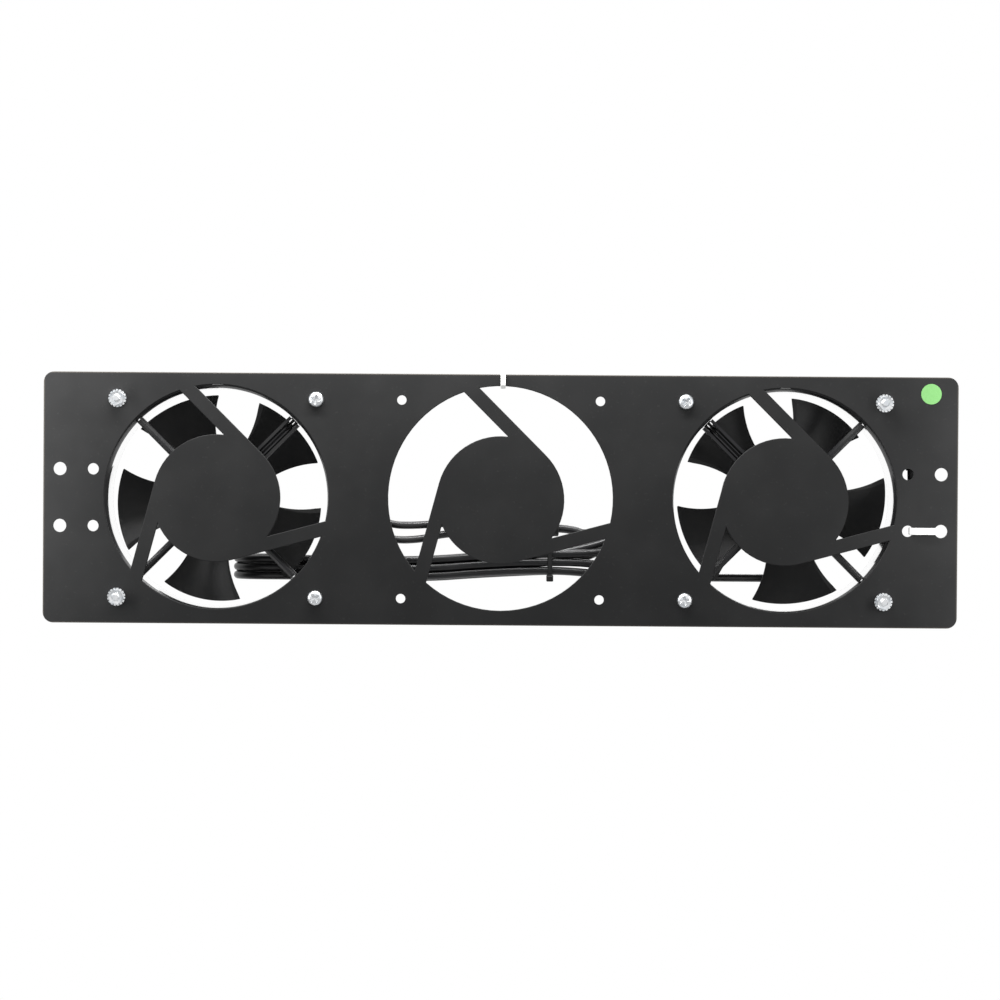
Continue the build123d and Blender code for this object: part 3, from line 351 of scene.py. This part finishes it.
def pan_head(face_y, rise, radius, columns=96):
    """Pan head with a cross recess, above face_y and pointing to -Y where rise is positive.

    Dome: h = H (1 - (r / R) ** 3.2) ** 0.5. Recess: two wings where min(|x|, |z|) is small, whose
    floor rises outwards, cut into the dome as a depth.
    """
    near_recess = np.linspace(0.08, 2.7, 26)
    near_rim = radius * np.sin(np.linspace(0.72, 1.0, 12) * math.pi / 2)
    r = np.sort(np.concatenate([near_recess, near_rim]))[:, None]
    a = np.arange(columns)[None, :] * math.tau / columns
    x, z = np.abs(r * np.cos(a)), np.abs(r * np.sin(a))
    along, across = np.maximum(x, z), np.minimum(x, z)
    wing = np.clip((WING_HALF_WIDTH - across) / 0.24, 0, 1) * np.clip((WING_REACH - along) / 0.3, 0, 1)
    dome = abs(rise) * (1 - np.minimum(r / radius, 1) ** 3.2) ** 0.5
    height = dome - wing * (WING_DEPTH - WING_SLOPE * along) * (abs(rise) / TALLEST_HEAD)
    sign = -1 if rise > 0 else 1
    top = turned(r, face_y + sign * height, columns)
    seat = turned([2.0], [face_y], columns)
    return stack(np.concatenate([top, seat]))


def hex_nut(start, end, flats=7.0, bore=1.75, columns=48):
    """Hexagon nut along Y: r = flats / 2 / cos(a from the nearest flat), corners chamfered at 30 degrees."""
    a = np.arange(columns) * math.tau / columns
    hexagon = flats / 2 / np.cos((a + math.pi / 6) % (math.pi / 3) - math.pi / 6)
    face = np.full(columns, flats / 2 * 0.96)
    drop = (hexagon - face) * math.tan(math.pi / 6)
    mouth = np.full(columns, bore)
    lip = mouth + MOUTH_BEVEL
    radii = np.stack([mouth, lip, face, hexagon, hexagon, face, lip, mouth])
    low, high = np.full(columns, start), np.full(columns, end)
    heights = np.stack([low + MOUTH_BEVEL, low, low, low + drop, high - drop, high, high, high - MOUTH_BEVEL])
    return stack(turned(radii, heights, columns), loop=True)


def toothed_washer(start, end, radius=4.75, bore=2.15, teeth=16, tooth=0.75, twist=0.22):
    """Washer along Y whose rim is cut into teeth, each twisted: y shifts by twist * (place in tooth)."""
    columns = teeth * 8
    place = (np.arange(columns) % 8) / 7
    rim = np.where((place > 0.1) & (place < 0.9), radius, radius - tooth)
    root = np.full(columns, radius - tooth - 0.15)
    inner = np.full(columns, bore)
    shift = twist * (place - 0.5)
    thin = (end - start) * 0.22
    low, high = np.full(columns, start + thin), np.full(columns, end - thin)
    radii = np.stack([inner, root, rim, rim, root, inner])
    heights = np.stack([low, low, low + shift, high + shift, high, high])
    return stack(turned(radii, heights, columns), loop=True)


# %% [markdown]
# The fans hang on M4 screws. Towards the middle bay, pan heads sit on the panel's front and nuts hold the
# front flange. At the outer corners long bolts come through both flanges from the rear, and a nut on a
# toothed washer holds each one in front. The screws' ends stand 1 mm out of their nuts, the bolts' 2 mm.

# %% Fasteners
INNER_X, OUTER_X, HOLE_Z = 97.6, 202.4, 52.4
PANEL_FRONT, FLANGE_THICKNESS, FAN_REAR = -2.0, 4.5, 38.0
NUT_THICKNESS, WASHER_THICKNESS = 3.2, 0.8
SCREW_HEAD_RADIUS, BOLT_HEAD_RADIUS, BOLT_HEAD_RISE, SHANK_RADIUS = 4.1, 3.9, 2.8, 1.85
INNER_NUT_END = FLANGE_THICKNESS + NUT_THICKNESS
WASHER_END = PANEL_FRONT - WASHER_THICKNESS
OUTER_NUT_END = WASHER_END - NUT_THICKNESS
INNER = [(-INNER_X, HOLE_Z, 12), (-INNER_X, -HOLE_Z, 55), (INNER_X, HOLE_Z, 38), (INNER_X, -HOLE_Z, 76)]
OUTER = [(-OUTER_X, HOLE_Z, 8), (-OUTER_X, -HOLE_Z, 41), (OUTER_X, HOLE_Z, 22), (OUTER_X, -HOLE_Z, 53)]
inner_screws = repeated(
    "pan_head_screws",
    [pan_head(PANEL_FRONT, TALLEST_HEAD, SCREW_HEAD_RADIUS), threaded(PANEL_FRONT, INNER_NUT_END + 1.0)],
    INNER,
)
inner_nuts = repeated("inner_hex_nuts", [hex_nut(FLANGE_THICKNESS, INNER_NUT_END)], INNER)
plain_shank = stack(turned([SHANK_RADIUS, SHANK_RADIUS], [FAN_REAR + 0.2, 1.5], 28))
outer_bolts = repeated(
    "long_bolts",
    [pan_head(FAN_REAR, -BOLT_HEAD_RISE, BOLT_HEAD_RADIUS), plain_shank, threaded(2.0, OUTER_NUT_END - 2.0)],
    OUTER,
)
outer_nuts = repeated("outer_hex_nuts", [hex_nut(WASHER_END, OUTER_NUT_END)], OUTER)
washers = repeated("toothed_washers", [toothed_washer(PANEL_FRONT, WASHER_END)], OUTER)
for piece in (inner_screws, inner_nuts, outer_bolts, outer_nuts, washers):
    print(piece.name, "faces:", len(piece.data.polygons))

# %% [markdown]
# A cable tie is a flat strap bent round its load. The strap's inner side follows the load's outline,
# with every corner rounded, and its thickness grows outwards. The head is a box with soft edges, a
# superellipsoid, and a short ribbed stub of the cut-off tail stands out of it.


# %% Helpers for ties
def rounded(corners, cut, steps=5):
    """Closed outline through corners, each replaced by a parabola that starts at most cut mm before it."""
    corners = np.array(corners, float)
    before, after = np.roll(corners, 1, axis=0), np.roll(corners, -1, axis=0)
    t = np.linspace(0, 1, steps)[None, :, None]
    ends = []
    for other in (before, after):
        step = other - corners
        reach = np.linalg.norm(step, axis=1, keepdims=True)
        ends.append(corners + step / reach * np.minimum(cut, 0.45 * reach))
    first, last = (end[:, None] for end in ends)
    return ((1 - t) ** 2 * first + 2 * t * (1 - t) * corners[:, None] + t ** 2 * last).reshape(-1, 2)


def strap(corners, width, thickness, cut=1.4):
    """Closed strap round an outline: rings (u, v, w) with u and v in the outline's plane, w across."""
    path = rounded(corners, cut)
    ahead = np.roll(path, -1, axis=0) - np.roll(path, 1, axis=0)
    ahead /= np.linalg.norm(ahead, axis=1, keepdims=True)
    out = np.stack([ahead[:, 1], -ahead[:, 0]], axis=1)
    if np.sum((path - path.mean(axis=0)) * out) < 0:
        out = -out
    half, soft = width / 2, 0.22
    across = np.array([soft - half, half - soft, half, half, half - soft, soft - half, -half, -half])
    depth = np.array([0, 0, soft, thickness - soft, thickness, thickness, thickness - soft, soft])
    plane = path[:, None] + out[:, None] * depth[None, :, None]
    return np.concatenate([plane, np.broadcast_to(across[None, :, None], (len(path), 8, 1))], axis=2)


def soft_box(centre, size, power=0.3, steps=15):
    """Superellipsoid: x = a c(u) c(v), y = b c(u) s(v), z = c s(u), each cosine or sine to a power."""
    u = np.linspace(-math.pi / 2, math.pi / 2, steps)[1:-1, None]
    v = np.arange(32)[None, :] * math.tau / 32
    waves = [np.cos(u), np.sin(u) + 0 * v, np.cos(v), np.sin(v)]
    cos_u, sin_u, cos_v, sin_v = (np.sign(wave) * np.abs(wave) ** power for wave in waves)
    rings = np.stack([cos_u * cos_v, cos_u * sin_v, sin_u], axis=2)
    return rings * np.array(size) / 2 + np.array(centre)


def stub(centre, direction, width, thickness, length, rows=25, rib_depth=0.14):
    """Cut-off tail: a strap end along direction (in the outline's plane) with fine ribs on one side.

    Ring s: centre + s * direction + n * (direction turned by 90 degrees), where n is the thickness and
    its low side is raised by a rib at every second row.
    """
    forward = np.array(direction, float)
    sideways = np.array([-forward[1], forward[0]])
    along = np.linspace(0, length, rows)
    low = -thickness / 2 + rib_depth * (np.arange(rows) % 2)
    high = np.full(rows, thickness / 2)
    offset = np.stack([low, low, high, high], axis=1)
    plane = np.array(centre) + along[:, None, None] * forward + offset[:, :, None] * sideways
    half = width / 2 * 0.86
    across = np.broadcast_to(np.array([-half, half, half, -half])[None, :, None], (rows, 4, 1))
    return np.concatenate([plane, across], axis=2)


def cable_tie(name, normal, place, corners, width, thickness, head, head_size, tail):
    """Tie round an outline in the plane normal to X (outline in y, z) or to Z (outline in x, y)."""
    parts = []
    for rings, loop in (
        (strap(corners, width, thickness), True),
        (soft_box((*head, 0.0), head_size), False),
        (stub(head, tail[0], width, thickness, tail[1]), False),
    ):
        u, v, w = rings[..., 0], rings[..., 1], rings[..., 2] + place
        order = (w, u, v) if normal == "X" else (u, v, w)
        points, faces = stack(np.stack(order, axis=2), loop)
        parts.append((points, faces))
    return repeated(name, parts, [(0, 0, 0)])


# %% [markdown]
# Five ties hold the cords: a white one over the panel's top web, which carries the right lead, a wider
# white one through the right lower pair of holes, which carries the cord below the plug, and black ones
# round the hank's middle and at the rear flange of each fan. A black tie at a flange goes round the
# flange's lower edge and round the runs that lie behind it.

# %% Cable ties
SLACK = 0.3
TIE_WIDTH, TIE_THICKNESS, TAIL_LENGTH = 2.6, 1.0, 4.4
HEAD_DEPTH, HEAD_HEIGHT, HEAD_WIDTH = 3.6, 4.6, 3.8
WEB_LOW, WEB_HIGH = 60.1, 66.25
FLANGE_LOW, FLANGE_INNER_LOW = -60.0, -52.9
HANK_FRONT, HANK_REAR = 39.6, 49.0
TIE_FRONT = PANEL_FRONT - SLACK


def flange_tie(name, x, front, rear, top):
    """Black tie round a rear flange's lower edge and the runs between front and rear, below top."""
    flange_front = FAN_REAR - FLANGE_THICKNESS - SLACK
    foot = FLANGE_LOW - SLACK
    outline = [
        (flange_front, foot), (flange_front, FLANGE_INNER_LOW), (front, FLANGE_INNER_LOW), (front, top),
        (rear, top), (rear, -45.2), (FAN_REAR + SLACK, foot),
    ]
    head = (rear + 1.8, top - 4.6)
    head_size = (HEAD_DEPTH, HEAD_HEIGHT, HEAD_WIDTH)
    return cable_tie(
        name, "X", x, outline, TIE_WIDTH, TIE_THICKNESS, head, head_size, ((0, 1), TAIL_LENGTH))


top_tie = cable_tie(
    "white_tie_on_web", "X", 1.0,
    [(TIE_FRONT, WEB_LOW - SLACK), (TIE_FRONT, WEB_HIGH + SLACK), (5.0, WEB_HIGH + SLACK),
     (5.0, WEB_LOW - SLACK)],
    TIE_WIDTH, TIE_THICKNESS, (6.8, 62.8), (HEAD_DEPTH, HEAD_HEIGHT, 4.6), ((0, 1), 4.2),
)
side_tie = cable_tie(
    "white_tie_in_holes", "Z", -15.0,
    [(216.9, TIE_FRONT), (216.9, 2.0), (220.2, 9.2), (226.7, 9.2), (230.0, 2.0), (230.0, TIE_FRONT)],
    3.6, 1.1, (223.45, 11.0), (4.6, 3.6, 5.6), ((-1, 0), 4.6),
)
bundle_tie = cable_tie(
    "black_tie_on_hank", "X", 27.0,
    [(HANK_FRONT, -41.0), (HANK_FRONT, -26.8), (HANK_REAR, -26.8), (HANK_REAR, -41.0)],
    TIE_WIDTH, TIE_THICKNESS, (44.3, -42.8), (HEAD_HEIGHT, HEAD_DEPTH, HEAD_WIDTH), ((1, 0), TAIL_LENGTH),
)
left_tie = flange_tie("black_tie_at_left_fan", -INNER_X, HANK_FRONT, HANK_REAR, -30.6)
right_tie = flange_tie("black_tie_at_right_fan", INNER_X, 41.0, 46.0, -39.3)
for piece in (top_tie, side_tie, bundle_tie, left_tie, right_tie):
    print(piece.name, "faces:", len(piece.data.polygons))

# %% [markdown]
# The made pieces take the place of the plain CAD ones. Each one rides on the same body as the piece it
# stands for, and here that is always the frame.

# %% Say which CAD pieces they stand for
MADE = {
    "inner_pan_screws": inner_screws, "inner_screw_nuts": inner_nuts, "outer_through_bolts": outer_bolts,
    "outer_nuts": outer_nuts, "outer_toothed_washers": washers, "top_web_tie": top_tie,
    "side_hole_tie": side_tie, "bundle_tie": bundle_tie, "left_hank_tie": left_tie,
    "last_run_tie": right_tie,
}
for node, piece in MADE.items():
    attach(piece, "frame")
    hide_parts(node)

# %% [markdown]
# Finishes are node trees. To keep them short, an output socket is wrapped in a small class whose
# operators add Math nodes, so a mask can be written as an expression. Every other node comes from one
# method that first takes the node's settings and then its values and links.


# %% Helper for finishes
class Value:
    """One output socket of a finish, for shader maths written as Python expressions."""

    def __init__(self, finish, socket):
        self.finish, self.socket = finish, socket

    def math(self, operation, *others):
        """Math node with this value first."""
        return self.finish.node("ShaderNodeMath", {"operation": operation}, self, *others)

    def __add__(self, other):
        return self.math("ADD", other)

    def __sub__(self, other):
        return self.math("SUBTRACT", other)

    def __mul__(self, other):
        return self.math("MULTIPLY", other)

    def __rsub__(self, other):
        return self.finish.node("ShaderNodeMath", {"operation": "SUBTRACT"}, other, self)

    __radd__, __rmul__ = __add__, __mul__

    def clamp(self, low, high):
        """Share of the way from low to high, held between 0 and 1."""
        settings = {"interpolation_type": "SMOOTHSTEP"}
        return self.finish.node("ShaderNodeMapRange", settings, self, low, high, 0.0, 1.0)


class Finish:
    """A material with one Principled shader, built node by node."""

    def __init__(self, name):
        self.material = bpy.data.materials.new(name)
        self.material.use_nodes = True
        self.tree = self.material.node_tree
        self.tree.nodes.clear()
        self.shader = self.tree.nodes.new("ShaderNodeBsdfPrincipled")
        output = self.tree.nodes.new("ShaderNodeOutputMaterial")
        self.tree.links.new(self.shader.outputs[0], output.inputs["Surface"])

    def put(self, socket, item):
        """Give a socket a link or a fixed value."""
        if isinstance(item, Value):
            self.tree.links.new(item.socket, socket)
        elif hasattr(item, "__len__") and len(item) == 3 and socket.type == "RGBA":
            socket.default_value = (*item, 1.0)
        else:
            socket.default_value = item

    def node(self, kind, settings, *items, output=0, **named):
        """Any node: its settings first, then its sockets by place or by name."""
        made = self.tree.nodes.new(kind)
        for key, value in settings.items():
            setattr(made, key, value)
        for socket, item in zip(made.inputs, items):
            self.put(socket, item)
        for key, item in named.items():
            self.put(made.inputs[key.replace("_", " ")], item)
        return Value(self, made.outputs[output])

    def place(self, scale=1.0):
        """Object coordinates in metres, scaled."""
        coordinates = self.node("ShaderNodeTexCoord", {}, output="Object")
        return self.node("ShaderNodeMapping", {}, coordinates, Scale=(scale, scale, scale))

    def along(self, axis):
        """Place along one axis of the object, 0 for x and 2 for z, in metres."""
        return self.node("ShaderNodeSeparateXYZ", {}, self.place(), output=axis)

    def grain(self, size_mm, detail=3.0, rough=0.55):
        """Noise whose grains are about that many millimetres across."""
        where = self.place(1000 / size_mm)
        return self.node("ShaderNodeTexNoise", {}, Vector=where, Scale=1.0, Detail=detail, Roughness=rough)

    def blend(self, share, first, second):
        """Colour that goes from the first to the second."""
        made = self.tree.nodes.new("ShaderNodeMix")
        made.data_type = "RGBA"
        for key, item in (("Factor_Float", share), ("A_Color", first), ("B_Color", second)):
            socket = next(s for s in made.inputs if s.identifier == key)
            self.put(socket, item)
        return Value(self, next(s for s in made.outputs if s.identifier == "Result_Color"))

    def bump(self, height, strength, depth_mm):
        """Normals from a height between 0 and 1."""
        return self.node("ShaderNodeBump", {}, Strength=strength, Distance=depth_mm / 1000, Height=height)

    def set(self, **sockets):
        """Set the shader's sockets."""
        for key, item in sockets.items():
            self.put(self.shader.inputs[key.replace("_", " ")], item)
        return self.material


# %% [markdown]
# Powder coat is baked paint: a fine pebbled skin, matt to satin, nearly black here. Two grains make it,
# a fine one for the pebbles and a broad faint one for the unevenness of handling. The outer rim carries
# a painted highlight, a little lighter and warmer than the face, where the cut edges catch the light.
# The rim is found from the distance to the panel's middle, where its last millimetre begins and
# ends, in metres.

# %% Powder coat
# Painted highlight: where the lighter band along the outer rim begins and ends, in metres from the middle.
SIDE_HIGHLIGHT_BAND, TOP_HIGHLIGHT_BAND = (0.2404, 0.2411), (0.0654, 0.0661)

powder = Finish("charcoal_powder_coat")
pebbles = powder.grain(0.55, detail=2.0)
handling = powder.grain(38.0, detail=3.0)
# The painted highlight's mask: the last millimetre of the outer rim, at the sides and at the top and bottom.
side_highlight = powder.along(0).math("ABSOLUTE").clamp(*SIDE_HIGHLIGHT_BAND)
top_highlight = powder.along(2).math("ABSOLUTE").clamp(*TOP_HIGHLIGHT_BAND)
rim = side_highlight.math("MAXIMUM", top_highlight)
speck = powder.grain(1.6, detail=4.0).clamp(0.62, 0.72)
face = powder.blend(handling.clamp(0.35, 0.7), (0.0178, 0.0179, 0.018), (0.0224, 0.0224, 0.0224))
face = powder.blend(speck * 0.16, face, (0.06, 0.059, 0.057))
# Painted highlight: the rim is blended lighter and warmer than the face.
face = powder.blend(rim * 0.6, face, (0.10, 0.09, 0.078))
powder.set(
    Base_Color=face,
    Roughness=0.6 + (handling - 0.5) * 0.22 + (pebbles - 0.5) * 0.2,
    Normal=powder.bump(pebbles, 0.35, 0.05),
    Specular_IOR_Level=0.12,
)

# %% [markdown]
# Mouldings and enamel share a recipe: a colour, a skin texture and a broad faint veil, which is what dust
# and handling leave on black. Small parts differ in colour, sheen and the size of the skin's grain.


# %% Mouldings
def moulding(name, colour, lighter, roughness, skin_mm, skin, veil_mm=22.0):
    """Plain black or pale surface with a skin texture and a faint broad veil of wear."""
    made = Finish(name)
    veil = made.grain(veil_mm, detail=4.0, rough=0.6)
    texture = made.grain(skin_mm, detail=2.0)
    made.painted = made.blend(veil.clamp(0.4, 0.72), colour, lighter)
    made.worn = roughness + (veil - 0.5) * 0.25 + (texture - 0.5) * 0.08
    made.set(Base_Color=made.painted, Roughness=made.worn, Normal=made.bump(texture, skin, 0.03))
    return made


wheel_plastic = moulding("wheel_plastic", (0.010, 0.010, 0.0105), (0.017, 0.017, 0.0165), 0.62, 0.4, 0.2)
wheel_plastic.set(Specular_IOR_Level=0.3)
box_plastic = moulding("box_plastic", (0.012, 0.012, 0.0125), (0.018, 0.018, 0.018), 0.5, 0.6, 0.4)
plug_plastic = moulding("plug_plastic", (0.011, 0.011, 0.0115), (0.016, 0.016, 0.016), 0.46, 0.9, 0.45)
tie_black = moulding("black_nylon", (0.010, 0.010, 0.0105), (0.016, 0.016, 0.016), 0.4, 0.5, 0.2)
tie_white = moulding("white_nylon", (0.83, 0.83, 0.80), (0.9, 0.9, 0.88), 0.42, 0.5, 0.2)
grommet_rubber = moulding("soft_rubber", (0.010, 0.010, 0.010), (0.02, 0.02, 0.02), 0.7, 0.4, 0.3)
terminal_plastic = moulding("terminal_plastic", (0.66, 0.64, 0.57), (0.74, 0.72, 0.66), 0.45, 0.5, 0.2)
foam = moulding("closed_foam", (0.02, 0.02, 0.02), (0.04, 0.04, 0.04), 0.9, 0.35, 1.0)
label_film = moulding("label_film", (0.20, 0.20, 0.21), (0.24, 0.24, 0.25), 0.38, 0.8, 0.1)
sleeve = moulding("lead_sleeve", (0.010, 0.010, 0.011), (0.018, 0.018, 0.019), 0.36, 0.7, 0.25)
jacket = moulding("cord_jacket", (0.009, 0.009, 0.010), (0.016, 0.016, 0.017), 0.38, 0.8, 0.25)
print("mouldings, nodes each:", len(jacket.tree.nodes))

# %% [markdown]
# A housing is a die casting in black enamel with a slight orange peel. Its bore is turned after it is
# painted, so the metal is bare there and mirrors the white room as a bright ring round the blades. The
# mask finds the bore from the distance to the nearer fan's axis, in metres.

# %% Enamel with a bare bore
BAY_PITCH = 0.150
BORE_FROM, BORE_TO = 0.0579, 0.05832

enamel = moulding("black_enamel", (0.008, 0.008, 0.009), (0.014, 0.014, 0.014), 0.42, 1.1, 0.3)
beside = (enamel.along(0).math("ABSOLUTE") - BAY_PITCH).math("POWER", 2.0)
from_axis = (beside + enamel.along(2).math("POWER", 2.0)).math("SQRT")
bare = from_axis.math("GREATER_THAN", BORE_FROM) * from_axis.math("LESS_THAN", BORE_TO)
enamel.set(
    Base_Color=enamel.blend(bare, enamel.painted, (0.93, 0.93, 0.93)),
    Metallic=bare,
    Roughness=enamel.worn * (1 - bare) + bare * 0.12,
    Specular_IOR_Level=0.3,
)
print("enamel, nodes:", len(enamel.tree.nodes))

# %% [markdown]
# Bare metals: bright zinc on the fasteners with small bluish patches, ground steel on the shaft and bearings,
# stacked sheets in the motor, copper wire and brass.


# %% Metals
def metal(name, colour, tint, roughness, patch_mm=3.0, skin_mm=0.3, skin=0.15):
    """Metal whose colour drifts to a tint in patches."""
    made = Finish(name)
    patches = made.grain(patch_mm, detail=3.0)
    skin_grain = made.grain(skin_mm, detail=2.0)
    made.set(
        Base_Color=made.blend(patches.clamp(0.42, 0.66), colour, tint),
        Metallic=1.0,
        Roughness=roughness + (patches - 0.5) * 0.2,
        Normal=made.bump(skin_grain, skin, 0.02),
    )
    return made


zinc = metal("bright_zinc", (0.80, 0.81, 0.82), (0.66, 0.69, 0.72), 0.3)
ground_steel = metal("ground_steel", (0.60, 0.60, 0.61), (0.52, 0.52, 0.53), 0.22)
laminated = metal("laminated_steel", (0.26, 0.26, 0.27), (0.18, 0.18, 0.185), 0.5)
turned_brass = metal("turned_brass", (0.62, 0.50, 0.26), (0.52, 0.41, 0.2), 0.3)
copper = metal("enamelled_copper", (0.58, 0.22, 0.10), (0.42, 0.14, 0.06), 0.35, skin_mm=0.5, skin=0.9)
nickel = metal("nickel_plate", (0.68, 0.65, 0.60), (0.60, 0.57, 0.52), 0.25)
print("metals, nodes each:", len(zinc.tree.nodes))

# %% [markdown]
# The round sticker is pale green paper, matt, with fibres that are just visible. The floor is plain.

# %% Sticker and floor
green_paper = Finish("pale_green_label")
fibres = green_paper.grain(0.5, detail=4.0)
green_paper.set(
    Base_Color=green_paper.blend(fibres.clamp(0.35, 0.65), (0.15, 0.38, 0.11), (0.17, 0.41, 0.13)),
    Roughness=0.6,
    Normal=green_paper.bump(fibres, 0.2, 0.03),
)

pale = Finish("pale_floor")
pale.set(Base_Color=(0.74, 0.74, 0.73), Roughness=0.8)

# %% [markdown]
# Now every piece gets its finish. Pieces that were made here are dressed in place of their CAD nodes,
# and what both fans have is listed once.

# %% Dress the pieces
DRESS = {
    powder: ["panel"],
    green_paper: ["green_sticker"],
    zinc: ["inner_pan_screws", "inner_screw_nuts", "outer_toothed_washers", "outer_nuts",
           "outer_through_bolts", "lid_screws"],
    foam: ["adhesive_pad"],
    box_plastic: ["junction_box_base", "junction_box_lid"],
    terminal_plastic: ["terminal_strip"],
    grommet_rubber: ["cord_gland"],
    sleeve: ["box_core_wires"],
    plug_plastic: ["plug_strain_relief", "plug_body"],
    nickel: ["plug_pins"],
    tie_black: ["bundle_tie", "left_hank_tie", "last_run_tie"],
    tie_white: ["top_web_tie", "side_hole_tie"],
}
EACH_FAN = {
    enamel: ["fan_housing"],
    wheel_plastic: ["impeller"],
    laminated: ["rotor_ring", "stator_core"],
    ground_steel: ["bearings", "shaft", "shaft_clip"],
    turned_brass: ["bearing_tube"],
    copper: ["stator_windings"],
    sleeve: ["strut_wires"],
    grommet_rubber: ["wire_grommet"],
    label_film: ["rating_label"],
}


def wear(piece, finish):
    """Give a piece one finish in all of its slots."""
    slots = piece.data.materials
    if len(slots) == 0:
        slots.append(finish.material)
    for index in range(len(slots)):
        slots[index] = finish.material


for finish, names in DRESS.items():
    for name in names:
        wear(MADE.get(name) or nodes[name], finish)
for finish, names in EACH_FAN.items():
    for name in names:
        for side in ("left", "right"):
            wear(nodes[f"{side}_{name}"], finish)
wear(mains_cord, jacket)
wear(left_lead, sleeve)
wear(right_lead, sleeve)
wear(floor, pale)
print("finishes:", len(bpy.data.materials))
